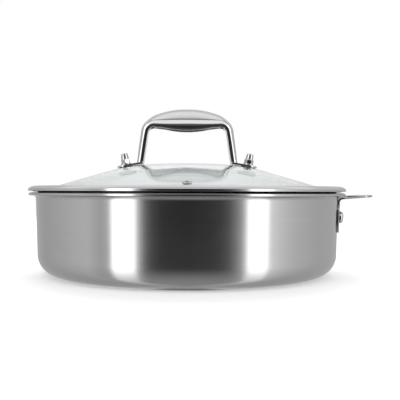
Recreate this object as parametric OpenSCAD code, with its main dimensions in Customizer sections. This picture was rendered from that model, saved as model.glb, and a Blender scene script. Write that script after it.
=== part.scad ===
// Round saute pan in clad steel, with one small helper handle and a domed glass lid.
// The lid has a folded steel rim, a steam vent and a tall loop handle on two feet.
// Origin: centre of the underside. +Z is up and +X points at the helper handle.

/* [Pan] */
// Inside diameter at the mouth
mouth_d = 280; // [200:1:340]
// Height from the underside to the top of the pouring lip
pan_h = 76.7; // [65:0.1:120]
// Outside radius of the corner between base and wall
corner_r = 20; // [8:0.5:26]
// Outward lean of the wall from upright, in degrees
wall_lean = 1.7; // [0:0.1:5]
// Thickness of the outer steel ply
outer_ply_t = 0.6; // [0.4:0.1:1]
// Thickness of the aluminium core ply
core_ply_t = 1.4; // [0.8:0.1:2.4]
// Thickness of the inner steel ply
inner_ply_t = 0.6; // [0.4:0.1:1]
// Radius of the hollow bend under the pouring lip
lip_bend_r = 3.6; // [2.5:0.1:6]
// How far the lip droops past level, in degrees
lip_droop = 20; // [5:1:35]

/* [Helper handle] */
// Thickness of the strip that the helper handle is pressed from
strip_t = 1.7; // [1.4:0.1:3]
// Height of the lower edge of its flange above the underside
flange_z = 40.5; // [30:0.5:44]
// Width of its flange across the rivets
flange_w = 88; // [76:1:100]
// Radius of its upper shoulders
flange_shoulder_r = 5; // [2:0.5:8]
// Inside radius of the bend between the flange and the loop
elbow_bend_r = 3; // [2:0.1:4]
// Gap between the pouring lip's underside and the bend
elbow_gap = 0.9; // [0.3:0.1:2]
// Distance between the two rivets
rivet_spacing = 60; // [44:1:66]
// Height of the rivets above the underside
rivet_z = 54.6; // [48:0.1:58]
// Diameter of the rivet shanks
rivet_d = 6; // [4:0.5:7]
// Diameter of the rivet heads
rivet_head_d = 11; // [9:0.5:13]
// Height of the domed rivet heads outside
rivet_head_h = 3.4; // [2:0.1:4.5]
// Height of the flat rivet heads inside
rivet_tail_h = 1.4; // [0.8:0.1:2.5]
// Reach of the loop past the outside of the lip
loop_reach = 27.3; // [22:0.1:45]
// Distance between the centres of the loop's two outer corners
loop_corner_gap = 50; // [36:1:70]
// Outside radius of the loop's two outer corners
loop_corner_r = 10; // [7:0.5:14]
// Radius of the bowed bar between those corners
loop_bow_r = 70; // [60:1:140]
// Width of the loop where it leaves the wall
loop_root_w = 79; // [74:1:86]
// Width of the loop's bar, seen from above
loop_bar = 8.5; // [6:0.5:10]
// Rise of the loop towards its outer bar, in degrees
loop_rise = 4.5; // [0:0.1:8]

/* [Lid glass] */
// Thickness of the tempered glass
glass_t = 4; // [3:0.5:5]
// Radius of the shallow crown arc in the middle of the dome
crown_r = 750; // [400:10:1200]
// Distance from the axis at which the crown meets the shoulder
crown_reach = 36; // [20:1:45]
// Radius of the shoulder arc
shoulder_r = 174; // [140:1:220]
// Slope of the straight outer part of the dome, in degrees
cone_slope = 16.5; // [14:0.1:19]
// Diameter at which that slope would meet the flat brim
dome_d = 252.8; // [240:0.1:262]
// Radius of the hollow fillet from dome to brim
brim_fillet_r = 15; // [6:1:25]

/* [Lid rim] */
// Thickness of the folded steel band
band_t = 0.7; // [0.5:0.1:1]
// Overhang of the band's nose past the mouth's radius
nose_reach = 9.6; // [8.5:0.1:12]
// Radius of the nose
nose_r = 1.2; // [1:0.1:1.6]
// Radius of the rounded upper face behind the nose
bevel_r = 7.3; // [6:0.1:10]
// Turn of the rounded upper face from level, in degrees
bevel_turn = 48; // [40:1:55]
// Distance from the nose's tip inwards to the edge of the glass
edge_inset = 5.7; // [4.5:0.1:6.5]
// Width of the band on top of the glass
band_grip = 8; // [5:0.5:12]
// Height of the band's underside above the top of the pan's lip
lid_gap = 0.6; // [0.3:0.1:2]
// Depth of the skirt below the band's underside
skirt_depth = 8.3; // [7:0.1:14]
// Slope of the skirt's seat from upright, in degrees
seat_angle = 20; // [12:1:30]
// Radius of the fold between the band's underside and its skirt
skirt_fold_r = 1; // [0.8:0.1:2]
// Clearance between the seat and the pan's lip
seat_clear = 0.3; // [0.2:0.05:0.6]

/* [Steam vent] */
// Distance of the vent from the lid's axis
vent_reach = 117; // [96:0.1:118]
// Diameter of the vent's flange
vent_flange_d = 8; // [6:0.5:12]
// Height of the vent's flange
vent_flange_h = 1; // [0.6:0.1:1.6]
// Diameter of the vent's tube
vent_tube_d = 5.6; // [4:0.1:6]
// Diameter of the steam hole
vent_hole_d = 3.6; // [2:0.1:4]

/* [Lid handle] */
// Distance of each bolt from the lid's axis
bolt_reach = 58.5; // [56:0.5:66]
// Clear height of the lid handle's mid line above the crown of the glass
grip_rise = 40.8; // [34:0.1:50]
// Distance of the legs' mid line from the lid's axis, at the foot
leg_reach = 46.4; // [44:0.1:49]
// Outward lean of the legs from upright, in degrees
leg_lean = 8.8; // [4:0.1:12]
// Radius of the handle's shoulders
shoulder_bend_r = 11; // [8:0.5:14]
// Height of the grip above its mid line, at the middle
grip_top = 11.8; // [8:0.1:14]
// Depth of the grip below its mid line, at the middle
grip_belly = 10.1; // [8:0.1:12]
// Width of the grip, front to back, at the middle
grip_w = 21; // [17:0.5:26]
// Width of the shoulders, front to back
shoulder_w = 17.5; // [15:0.5:20]
// Width of the legs, front to back
leg_w = 15.5; // [12:0.5:16]
// Thickness of a leg outside its mid line
leg_out = 2.9; // [2:0.1:3.5]
// Thickness of a leg inside its mid line, at the foot
leg_in = 3.4; // [2.5:0.1:4]
// Thickness of a leg inside its mid line, at the top
leg_top_in = 5.4; // [4:0.1:7]
// Thickness of the shoulders outside their mid line, where they meet the grip
shoulder_out = 7; // [5:0.1:9]
// Thickness of the shoulders inside their mid line, where they meet the grip
shoulder_in = 6.3; // [5:0.1:8]
// Thickness of the feet
foot_t = 1.8; // [1.5:0.1:3]
// Width of the feet, and diameter of their round ends
foot_w = 17; // [13:0.5:18]

/* [Lid fasteners] */
// Nominal diameter of the screws
screw_d = 5; // [4:1:6]
// Width across flats of the acorn nuts
nut_flats = 8; // [7:0.5:10]
// Height of the acorn nuts
nut_h = 10; // [8:0.5:12]
// Height of the acorn nuts' hexagon
nut_hex_h = 4; // [3:0.5:5]
// Diameter of the acorn nuts' dome
nut_dome_d = 7.5; // [6.5:0.1:9]
// Depth of the acorn nuts' threaded bores
nut_bore = 6.5; // [5:0.5:7]
// Outside diameter of the washers under the nuts
nut_washer_d = 10; // [9:0.5:12]
// Thickness of the washers under the nuts
nut_washer_t = 1.4; // [0.8:0.1:2]
// Outside diameter of the gaskets on top of the glass
outer_gasket_d = 13.5; // [11:0.5:16]
// Thickness of the gaskets on top of the glass
outer_gasket_t = 0.6; // [0.4:0.1:1.2]
// Diameter of the holes through the glass for the screws
glass_hole_d = 8; // [7:0.5:9]
// Outside diameter of the soft cups under the glass
cup_d = 17.5; // [15:0.5:20]
// Height of the soft cups under the glass
cup_h = 4.6; // [4.4:0.1:6]
// Radius of the cups' lower edge
cup_edge_r = 1.2; // [0.6:0.1:1.6]
// Diameter of the screw heads
screw_head_d = 9.2; // [8:0.1:10]
// Height of the screw heads
screw_head_h = 2.2; // [1.8:0.1:2.4]
// Outside diameter of the washers inside the cups
cup_washer_d = 10.5; // [9.5:0.5:11]
// Thickness of the washers inside the cups
cup_washer_t = 1; // [0.6:0.1:1.2]

/* [Fits] */
// Radial clearance of shanks and tubes in their holes
hole_clear = 0.1; // [0.05:0.01:0.3]
// Radial clearance of a washer in its cup
cup_clear = 0.4; // [0.2:0.05:0.6]
// Clearance between the glass and what is held against its curved faces
glass_clear = 0.25; // [0.1:0.05:0.3]
// Clearance of rivet heads from the curved wall
head_clear = 0.15; // [0.1:0.05:0.25]
// Clearance between a screw's end and the bottom of its nut's bore
screw_clear = 0.5; // [0.3:0.1:1]

/* [Hidden] */
$fn = 96;
steps = 10;
lip_steps = 14;
overcut = 1;

steel = [0.72, 0.72, 0.71];
bright_steel = [0.82, 0.82, 0.82];
aluminium = [0.8, 0.81, 0.83];
clear_glass = [0.8, 0.87, 0.88, 0.4];
silicone = [0.86, 0.89, 0.9, 0.7];

// Plane geometry: points are [distance from the axis, height].
function along(a) = [cos(a), sin(a)];
function arc(centre, r, from, to, n = steps) =
    [for (i = [0:n]) centre + r * along(from + (to - from) * i / n)];
function backwards(path) = [for (i = [len(path) - 1:-1:0]) path[i]];
function unit(v) = v / norm(v);
function left_of(v) = [-v[1], v[0]];
function heading(path, i) = unit(path[min(i + 1, len(path) - 1)] - path[min(i, len(path) - 2)]);
// The same path moved to its left by t, with mitred corners
function beside(path, t) = [
    for (i = [0:len(path) - 1])
        let (m = left_of(heading(path, max(i - 1, 0))) + left_of(heading(path, i)))
            path[i] + m * 2 * t / (m * m)
];

// Pan wall: the skin at a depth d inside the outer surface. A negative d lies outside it.
mouth_r = mouth_d / 2;
wall_t = outer_ply_t + core_ply_t + inner_ply_t;
lip_top_r = lip_bend_r + wall_t;
lip_centre = [mouth_r + lip_top_r, pan_h - lip_top_r];
wall_out = [cos(wall_lean), -sin(wall_lean)];
wall_top = lip_centre - lip_bend_r * wall_out;
corner_x = (wall_top * wall_out - corner_r + corner_r * sin(wall_lean)) / cos(wall_lean);
corner_centre = [corner_x, corner_r];
lip_end = 90 - lip_droop;
function corner_arc(d) = arc(corner_centre, corner_r - d, -90, -wall_lean);
function lip_arc(d) = arc(lip_centre, lip_bend_r + d, 180 - wall_lean, lip_end, lip_steps);
function skin(d) = concat([[0, d]], corner_arc(d), lip_arc(d));
tip_centre = lip_centre + (lip_bend_r + wall_t / 2) * along(lip_end);
tip_r = tip_centre[0] + wall_t / 2;
function wall_r(z) = wall_top[0] - (wall_top[1] - z) * tan(wall_lean);

// Helper handle: places on the wall
rivet_r = wall_r(rivet_z);
rivet_turn = asin(rivet_spacing / 2 / rivet_r);
elbow_top = tip_centre[1] - wall_t / 2 - elbow_gap;
elbow_centre = [wall_top[0] + strip_t + elbow_bend_r, elbow_top - strip_t - elbow_bend_r];
loop_x = tip_r + loop_reach;
flange_top = elbow_centre[1] - flange_shoulder_r / 2;
flange_corner_r = 9;
window_corner_r = 5;
inboard = mouth_r / 2;

// Lid: heights, then the dome's arcs from the crown outwards
band_z = pan_h + lid_gap;
brim_z = band_z + band_t;
brim_top = brim_z + glass_t;
crown_turn = asin(crown_reach / crown_r);
shoulder_x = (crown_r - shoulder_r) * sin(crown_turn);
shoulder_end = shoulder_x + shoulder_r * sin(cone_slope);
shoulder_z = brim_top + (dome_d / 2 - shoulder_end) * tan(cone_slope) - shoulder_r * cos(cone_slope);
crown_z = shoulder_z - (crown_r - shoulder_r) * cos(crown_turn);
dome_top = crown_z + crown_r;
fillet_centre = [dome_d / 2 + brim_fillet_r * tan(cone_slope / 2), brim_top + brim_fillet_r];
glass_edge_r = 1.2;
function dome_skin(d) = concat(
    arc([0, crown_z], crown_r - d, 90, 90 - crown_turn, 4),
    arc([shoulder_x, shoulder_z], shoulder_r - d, 90 - crown_turn, 90 - cone_slope),
    arc(fillet_centre, brim_fillet_r + d, 270 - cone_slope, 270, 6)
);
// Tilt and height of the dome's outer surface at a distance r from the axis
function dome_tilt(r) =
    r < crown_reach ? asin(r / crown_r) :
    r < shoulder_end ? asin((r - shoulder_x) / shoulder_r) : cone_slope;
function dome_z(r) =
    r < crown_reach ? crown_z + crown_r * cos(dome_tilt(r)) :
    r < shoulder_end ? shoulder_z + shoulder_r * cos(dome_tilt(r)) :
    brim_top + (dome_d / 2 - r) * tan(cone_slope);

// Rim band: the outer face of the folded sheet, from its top edge to the foot of its skirt
bevel_end = 90 - bevel_turn;
bevel_centre = [
    mouth_r + nose_reach - nose_r - (bevel_r - nose_r) * cos(bevel_end),
    brim_top + band_t - bevel_r
];
nose_centre = bevel_centre + (bevel_r - nose_r) * along(bevel_end);
glass_r = mouth_r + nose_reach - edge_inset;
// The underside rises from here, clear of the glass, and meets the nose at a tangent
under_start = [glass_r + glass_clear, band_z];
under_to_nose = nose_centre - under_start;
under_slope = atan2(under_to_nose[1], under_to_nose[0]) - asin(nose_r / norm(under_to_nose));
seat_point = lip_centre + (lip_top_r + seat_clear) * along(180 - seat_angle);
seat_run = 0.5;
skirt_r = seat_point[0] + seat_run;
skirt_z = seat_point[1] + seat_run / tan(seat_angle);
skirt_foot = band_z - skirt_depth;
skirt_foot_r = seat_point[0] - (seat_point[1] - skirt_foot) * tan(seat_angle);
band_path = concat(
    [[glass_r - band_grip, brim_top + band_t]],
    arc(bevel_centre, bevel_r, 90, bevel_end, 8),
    arc(nose_centre, nose_r, bevel_end - 8, under_slope - 90, 8),
    [under_start],
    arc([skirt_r + skirt_fold_r, band_z - skirt_fold_r], skirt_fold_r, 90, 180, 5),
    [[skirt_r, skirt_z], [skirt_foot_r, skirt_foot]]
);

// Lid handle: mid line of the right half, from the foot to the middle of the grip
bolt_tilt = dome_tilt(bolt_reach);
grip_z = dome_top + grip_rise;
foot_drop = (bolt_reach - leg_reach) * sin(bolt_tilt);
leg_z = dome_z(bolt_reach) + (outer_gasket_t + foot_t / 2) * cos(bolt_tilt) + foot_drop;
leg_dir = [-sin(leg_lean), cos(leg_lean)];
leg_top_x = leg_reach - (grip_z - leg_z) * tan(leg_lean);
turn = 90 - leg_lean;
tangent = shoulder_bend_r * tan(turn / 2);
bend_start = [leg_top_x, grip_z] - tangent * leg_dir;
bend_centre = [leg_top_x - tangent, grip_z - shoulder_bend_r];
grip_half = leg_top_x - tangent;
leg_length = norm(bend_start - [leg_reach, leg_z]);

// Stations along the half: [point, outward direction, part, share of that part]
leg_stations = 6;
bend_stations = 7;
grip_stations = 8;
half_path = concat(
    [for (i = [0:leg_stations - 1]) let (s = i / leg_stations)
        [[leg_reach, leg_z] + leg_dir * leg_length * s, [cos(leg_lean), sin(leg_lean)], 0, s]],
    [for (i = [0:bend_stations - 1]) let (s = i / bend_stations, a = leg_lean + turn * s)
        [bend_centre + shoulder_bend_r * along(a), along(a), 1, s]],
    [for (i = [0:grip_stations]) let (s = i / grip_stations)
        [[grip_half * (1 - s), grip_z], [0, 1], 2, s]]
);
function smooth(s) = s * s * (3 - 2 * s);
function blend(a, b, s) = a + (b - a) * s;
// The grip's top is an arc over its whole length; its belly swells smoothly
function outside(part, s) =
    part == 0 ? leg_out :
    part == 1 ? blend(leg_out, shoulder_out, s * s) :
    blend(shoulder_out, grip_top, 1 - (1 - s) * (1 - s));
function inside(part, s) =
    part == 0 ? blend(leg_in, leg_top_in, s * s) :
    part == 1 ? blend(leg_top_in, shoulder_in, smooth(s)) :
    blend(shoulder_in, grip_belly, smooth(s));
function half_width(part, s) =
    (part == 0 ? leg_w : part == 1 ? blend(leg_w, shoulder_w, smooth(s)) :
    blend(shoulder_w, grip_w, smooth(s))) / 2;
// Rings are ovals with flattened sides; a power of 1 would make them ellipses
ring_n = 16;
side_power = 0.7;
face_power = 0.85;
function signed_power(v, p) = sign(v) * pow(abs(v), p);
function ring(st, side) = [
    for (k = [0:ring_n - 1])
        let (a = 360 * k / ring_n, u = signed_power(cos(a), side_power) * half_width(st[2], st[3]),
            reach = sin(a) > 0 ? outside(st[2], st[3]) : inside(st[2], st[3]),
            v = signed_power(sin(a), face_power) * reach, p = st[0] + v * st[1])
            [side * p[0], u, p[1]]
];
// Both halves as one run of rings, from the left foot to the right foot
rings = concat(
    [for (st = half_path) ring(st, -1)],
    [for (i = [len(half_path) - 2:-1:0]) ring(half_path[i], 1)]
);

module turned(points) rotate_extrude($fn = 180) polygon(points);
// Stands a child on the dome, at a distance r from the axis in the direction turn_z
module on_dome(r, turn_z)
    rotate([0, 0, turn_z]) translate([r, 0, dome_z(r)]) rotate([0, dome_tilt(r), 0]) children();
module at_bolt(side) on_dome(bolt_reach, side > 0 ? 0 : 180) children();
module rod(d, z0, z1) translate([0, 0, z0]) cylinder(d = d, h = z1 - z0);
module tube(outer_d, inner_d, z0, z1) difference() {
    rod(outer_d, z0, z1);
    rod(inner_d, z0 - overcut, z1 + overcut);
}
// Stands a child on a rivet's axis: its z runs squarely out of the wall's outer surface
module at_rivet(side) rotate([0, 0, side * rivet_turn]) translate([rivet_r, 0, rivet_z])
    rotate([0, 90 + wall_lean, 0]) children();
module rivet_holes() for (side = [-1, 1]) at_rivet(side)
    rod(rivet_d + 2 * hole_clear, -wall_t - overcut, strip_t + overcut);

module pan_outer_ply() color(steel) difference() {
    turned(concat(
        skin(0),
        arc(tip_centre, wall_t / 2, lip_end - 180, lip_end, 8),
        backwards(skin(outer_ply_t))
    ));
    rivet_holes();
}

module pan_core_ply() color(aluminium) difference() {
    turned(concat(skin(outer_ply_t), backwards(skin(outer_ply_t + core_ply_t))));
    rivet_holes();
}

module pan_inner_ply() color(steel) difference() {
    turned(concat(skin(outer_ply_t + core_ply_t), backwards(skin(wall_t))));
    rivet_holes();
}

// Everything inside the pan's outer surface, for trimming what touches it
module pan_envelope() turned(concat(
    skin(0),
    arc(tip_centre, wall_t / 2, lip_end - 180, lip_end, 8),
    [[0, pan_h]]
));

// Outline of the loop or of its window, seen from above: root, two corners and a bowed bar
function loop_outline(corner_gap, r, bow, x_end, x_root, w_root) =
    let (
        y = corner_gap / 2,
        xb = x_end - bow,
        xc = xb + sqrt(pow(bow - r, 2) - y * y),
        open = atan2(y, xc - xb),
        to_root = [x_root - xc, w_root / 2 - y],
        arm = atan2(to_root[1], to_root[0]) - acos(r / norm(to_root))
    )
    concat(
        [[x_root, -w_root / 2]],
        arc([xc, -y], r, -arm, -open, 6),
        arc([xb, 0], bow, -open, open, 8),
        arc([xc, y], r, open, arm, 6),
        [[x_root, w_root / 2]]
    );

window_root_x = elbow_centre[0] + strip_t + 1;
window_taper = 4;
module loop_plan() difference() {
    union() {
        polygon(loop_outline(
            loop_corner_gap, loop_corner_r, loop_bow_r, loop_x, wall_top[0], loop_root_w));
        translate([inboard, -loop_root_w / 2]) square([wall_top[0] - inboard, loop_root_w]);
    }
    polygon(loop_outline(
        loop_corner_gap + 2 * (loop_corner_r - loop_bar - window_corner_r) + window_taper,
        window_corner_r, loop_bow_r - loop_bar, loop_x - loop_bar,
        window_root_x, loop_root_w - 2 * loop_bar - window_taper));
}

module flange_plan() {
    low = flange_z + flange_corner_r;
    high = flange_top - flange_shoulder_r;
    polygon(concat(
        arc([flange_corner_r - flange_w / 2, low], flange_corner_r, 180, 270, 6),
        arc([flange_w / 2 - flange_corner_r, low], flange_corner_r, 270, 360, 6),
        arc([flange_w / 2 - flange_shoulder_r, high], flange_shoulder_r, 0, 90, 6),
        arc([flange_shoulder_r - flange_w / 2, high], flange_shoulder_r, 90, 180, 6)
    ));
}

// One strip all round: up the wall, out through the elbow and along the rising loop
module helper_strip() {
    rise = tan(loop_rise);
    reach = loop_x - elbow_centre[0];
    turned(concat(
        [[mouth_r - wall_t, flange_z], [wall_r(flange_z) + strip_t, flange_z]],
        arc(elbow_centre, elbow_bend_r, 180, 90, 5),
        [[loop_x, elbow_top - strip_t + reach * rise], [loop_x, elbow_top + reach * rise]],
        arc(elbow_centre, elbow_bend_r + strip_t, 90, 180, 5),
        [[mouth_r - wall_t, elbow_centre[1]]]
    ));
}

module helper_handle() color(steel) difference() {
    intersection() {
        helper_strip();
        union() {
            translate([0, 0, flange_top - flange_shoulder_r]) linear_extrude(pan_h) loop_plan();
            rotate([90, 0, 90]) linear_extrude(loop_x) flange_plan();
        }
    }
    pan_envelope();
    rivet_holes();
}

module helper_rivet(side) color(bright_steel) at_rivet(side) {
    rod(rivet_d, -wall_t - rivet_tail_h, strip_t + rivet_head_h / 2);
    translate([0, 0, strip_t + head_clear]) dome_head(rivet_head_d, rivet_head_h - head_clear);
    rod(rivet_head_d, -wall_t - rivet_tail_h, -wall_t - 2 * head_clear);
}

// Low dome: a cap of a sphere on a flat side
module dome_head(d, h) {
    r = (d * d / 4 + h * h) / (2 * h);
    rotate_extrude() polygon(concat([[0, 0]], arc([0, h - r], r, asin((r - h) / r), 90, 8)));
}

module helper_rivet_front() helper_rivet(-1);
module helper_rivet_rear() helper_rivet(1);

module lid_rim_band() color(bright_steel) turned(concat(band_path, backwards(beside(band_path, -band_t))));

module lid_glass() color(clear_glass) difference() {
    turned(concat(
        dome_skin(0),
        arc([glass_r - glass_edge_r, brim_top - glass_edge_r], glass_edge_r, 90, 0, 4),
        arc([glass_r - glass_edge_r, brim_z + glass_edge_r], glass_edge_r, 0, -90, 4),
        backwards(dome_skin(glass_t))
    ));
    for (side = [-1, 1]) at_bolt(side) rod(glass_hole_d, -glass_t - overcut, overcut);
    on_dome(vent_reach, -90) rod(vent_tube_d + 2 * hole_clear, -glass_t - overcut, overcut);
}

vent_foot = -glass_t - vent_flange_h - glass_clear;
vent_edge_r = vent_flange_h / 2;
vent_clear = hole_clear / 2;

module vent_eyelet() color(bright_steel) on_dome(vent_reach, -90) difference() {
    union() {
        rotate_extrude() polygon(concat(
            [[0, vent_clear], [vent_flange_d / 2, vent_clear]],
            arc([vent_flange_d / 2 - vent_edge_r, vent_flange_h - vent_edge_r], vent_edge_r, 0, 90, 4),
            [[0, vent_flange_h]]
        ));
        rod(vent_tube_d, vent_foot, vent_flange_h / 2);
    }
    rod(vent_hole_d, vent_foot - overcut, vent_flange_h + overcut);
}

module vent_ferrule() color(bright_steel) on_dome(vent_reach, -90)
    tube(vent_flange_d, vent_tube_d + 2 * hole_clear, vent_foot, -glass_t - glass_clear);

// Foot plate of the lid handle, with its top and underside square to the bolt
foot_z = outer_gasket_t;
foot_inner = (bolt_reach - leg_reach) / cos(bolt_tilt) + leg_in;

module foot_plate(side) at_bolt(side) difference() {
    translate([0, 0, foot_z]) linear_extrude(foot_t) union() {
        translate([-foot_inner, -foot_w / 2]) square([foot_inner, foot_w]);
        circle(d = foot_w);
    }
    rod(screw_d + 2 * hole_clear, foot_z - overcut, foot_z + foot_t + overcut);
}

module handle_sweep() {
    last = len(rings) - 1;
    polyhedron(
        points = [for (r = rings, p = r) p],
        faces = concat(
            [[for (k = [0:ring_n - 1]) k]],
            [for (i = [0:last - 1], k = [0:ring_n - 1]) let (j = (k + 1) % ring_n)
                [i * ring_n + j, i * ring_n + k, (i + 1) * ring_n + k, (i + 1) * ring_n + j]],
            [[for (k = [ring_n - 1:-1:0]) last * ring_n + k]]
        )
    );
}

module lid_handle() color(bright_steel) union() {
    handle_sweep();
    foot_plate(-1);
    foot_plate(1);
}

// Stack on each bolt, in order from the top
washer_z = foot_z + foot_t;
nut_z = washer_z + nut_washer_t;
cup_top = -glass_t - glass_clear;
cup_foot = cup_top - cup_h;
head_depth = 0.2;
recess_z = cup_foot + head_depth + screw_head_h + cup_washer_t;
screw_top = nut_z + nut_bore - screw_clear;
nut_corner_d = nut_flats / cos(30);
nut_chamfer = 0.6;

module acorn_nut(side) color(bright_steel) at_bolt(side) translate([0, 0, nut_z]) difference() {
    union() {
        intersection() {
            cylinder(d = nut_corner_d, h = nut_hex_h, $fn = 6);
            rotate_extrude() polygon([
                [0, 0], [nut_flats / 2, 0], [nut_corner_d / 2, nut_chamfer],
                [nut_corner_d / 2, nut_hex_h - nut_chamfer], [nut_dome_d / 2, nut_hex_h], [0, nut_hex_h]
            ]);
        }
        rotate_extrude() polygon(concat(
            [[0, nut_chamfer], [nut_dome_d / 2, nut_chamfer]],
            arc([0, nut_h - nut_dome_d / 2], nut_dome_d / 2, 0, 90, 8)
        ));
    }
    rod(screw_d + 2 * hole_clear, -overcut, nut_bore);
}

module nut_washer(side) color(bright_steel) at_bolt(side)
    tube(nut_washer_d, screw_d + 2 * hole_clear, washer_z, nut_z);

// The gasket's sleeve keeps the screw off the glass
sleeve_foot = -glass_t + 2 * glass_clear;
module outer_gasket(side) color(silicone) at_bolt(side) difference() {
    union() {
        rod(outer_gasket_d, 0, outer_gasket_t);
        rod(glass_hole_d - 2 * hole_clear, sleeve_foot, outer_gasket_t / 2);
    }
    rod(screw_d + 2 * hole_clear, -glass_t - overcut, outer_gasket_t + overcut);
}

module inner_gasket(side) color(silicone) at_bolt(side) difference() {
    rotate_extrude() polygon(concat(
        [[0, cup_foot]],
        arc([cup_d / 2 - cup_edge_r, cup_foot + cup_edge_r], cup_edge_r, -90, 0, 4),
        [[cup_d / 2, cup_top], [0, cup_top]]
    ));
    rod(screw_d + 2 * hole_clear, recess_z - overcut, cup_top + overcut);
    rod(cup_washer_d + 2 * cup_clear, cup_foot - overcut, recess_z);
}

module inner_washer(side) color(bright_steel) at_bolt(side)
    tube(cup_washer_d, screw_d + 2 * hole_clear, recess_z - cup_washer_t, recess_z);

module lid_screw(side) color(bright_steel) at_bolt(side) {
    head_z = recess_z - cup_washer_t;
    edge = screw_head_h / 2;
    rod(screw_d, head_z - edge, screw_top);
    translate([0, 0, head_z]) mirror([0, 0, 1]) rotate_extrude() polygon(concat(
        [[0, 0], [screw_head_d / 2, 0]],
        arc([screw_head_d / 2 - edge, screw_head_h - edge], edge, 0, 90, 4),
        [[0, screw_head_h]]
    ));
}

pan_outer_ply();
pan_core_ply();
pan_inner_ply();
helper_handle();
helper_rivet_front();
helper_rivet_rear();
lid_rim_band();
lid_glass();
vent_eyelet();
vent_ferrule();
lid_handle();
lid_screw(-1);  // lid_screw_left
lid_screw(1);  // lid_screw_right
acorn_nut(-1);  // acorn_nut_left
acorn_nut(1);  // acorn_nut_right
nut_washer(-1);  // nut_washer_left
nut_washer(1);  // nut_washer_right
outer_gasket(-1);  // outer_gasket_left
outer_gasket(1);  // outer_gasket_right
inner_gasket(-1);  // inner_gasket_left
inner_gasket(1);  // inner_gasket_right
inner_washer(-1);  // inner_washer_left
inner_washer(1);  // inner_washer_right
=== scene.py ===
"""A saute pan with its domed glass lid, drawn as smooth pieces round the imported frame.

Every piece is a surface worked out with numpy: an outline turned round the pan's axis or round a
bolt's axis, a plate mapped onto a bent strip, or a ring carried along a bent line. Lengths are in
metres and angles in radians. +Z is up, +X points at the helper handle, and the origin is the
centre of the pan's underside.
"""

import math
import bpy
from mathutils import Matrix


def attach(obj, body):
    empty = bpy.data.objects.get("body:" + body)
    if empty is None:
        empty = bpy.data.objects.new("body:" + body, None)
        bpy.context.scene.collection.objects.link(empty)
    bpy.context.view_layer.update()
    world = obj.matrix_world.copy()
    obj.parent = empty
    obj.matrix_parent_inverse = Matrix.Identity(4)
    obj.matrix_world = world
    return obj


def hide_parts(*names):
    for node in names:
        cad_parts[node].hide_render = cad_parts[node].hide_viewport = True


bl_info = {
    "name": "Saute Pan With Lid",
    "version": (1, 0, 0),
    "blender": (4, 5, 0),
    "location": "3D View > Sidebar > Saute Pan",
    "description": "Builds the pan, its helper handle, the glass lid and a pale stage",
    "category": "Add Mesh",
}

from types import SimpleNamespace

import bpy
import numpy as np

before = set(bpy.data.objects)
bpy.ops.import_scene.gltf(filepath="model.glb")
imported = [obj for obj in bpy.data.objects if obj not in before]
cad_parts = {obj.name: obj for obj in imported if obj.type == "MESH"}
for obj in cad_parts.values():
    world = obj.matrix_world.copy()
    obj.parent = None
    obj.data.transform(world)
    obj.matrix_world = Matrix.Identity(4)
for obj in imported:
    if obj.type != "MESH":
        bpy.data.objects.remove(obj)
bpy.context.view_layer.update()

TINY = 1e-7

# Points round the pan, round a bolt, round the nuts and screws, and round the helper handle.
ROUND = 288
SMALL_ROUND = 96
FINE_ROUND = 192
HELPER_TURN = 480

# Longest straight steps of an outline: on the pan and lid, rim, rivets, vent, nuts and screws.
FILL_STEP = 0.003
RIM_STEP = 0.002
RIVET_STEP = 0.0006
VENT_STEP = 0.0005
NUT_STEP = 0.00025
SCREW_STEP = 0.0002

# Small radii that soften corners.
LIP_EASE = 0.0003
NOSE_EASE = 0.0003
RING_EASE = 0.0003
WASHER_EASE = 0.0004
NUT_EASE = 0.0002
FOOT_EASE = 0.00015
FOOT_CORNER = 0.001

# The most of a side that a soft corner may take, and a step round the rim's nose in degrees.
SIDE_SHARE = 0.45
NOSE_STEP = 4

# Folds sharper than this stay sharp in the shading.
SHARP = math.radians(32)

# The lid handle's section, with shares of the way at which its faces have points. OUTSIDE_AT and
# INSIDE_AT say where along the handle the two rows of thicknesses are given: 0 to 1 is the leg,
# 1 to 2 the shoulder and 2 to 3 half of the grip.
BELLY_CORNER = 0.0006
FACE_TURN = math.radians(15)
FACE_BULGE = 0.4
BULGE_SHARE = 0.22
BEVEL_TURN = math.radians(25)
CROWN_POWER = 3.0
CREASE_STEP = 0.00008
BEVEL_AT = (0.0, 0.3, 0.65, 0.96)
FACE_FROM = 0.02
BELLY_AT = (0.75, 0.5, 0.25, 0.0)
OUTSIDE_AT = (0, 0.4, 1, 1.46, 1.72, 2, 2.23, 2.6, 3)
INSIDE_AT = (0, 0.4, 1, 2, 2.25, 2.5, 2.75, 3)

# Powers that shape the rivets' heads and the acorn nuts, and how far the heads draw in below.
HEAD_POWER = 0.72
HEAD_FOOT = 0.97
NUT_TOP_POWER = 0.8
HEX_POWER = 50
NUT_POWER = 60.0

# Steel: how much fine marks and slow clouds change its colour and gloss, on a plain piece and
# with lines. CLOUDS and ROUND_MARKS are clouds and breaks in a line to the metre, MARK_DEPTH is
# the depth of the marks, and the brushing runs level, a quarter turn from upright.
FINE_TONE, SLOW_TONE = 0.9, 0.6
PLAIN_CHANGE, LINED_CHANGE = 0.03, 0.25
PLAIN_GLOSS, LINED_GLOSS = 0.16, 0.2
CLOUDS, ROUND_MARKS = 22.0, 14.0
MARK_DEPTH = 0.00003
LEVEL_BRUSH = 0.25
SATIN = 0.16
SATIN_BLEND = 0.001

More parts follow.
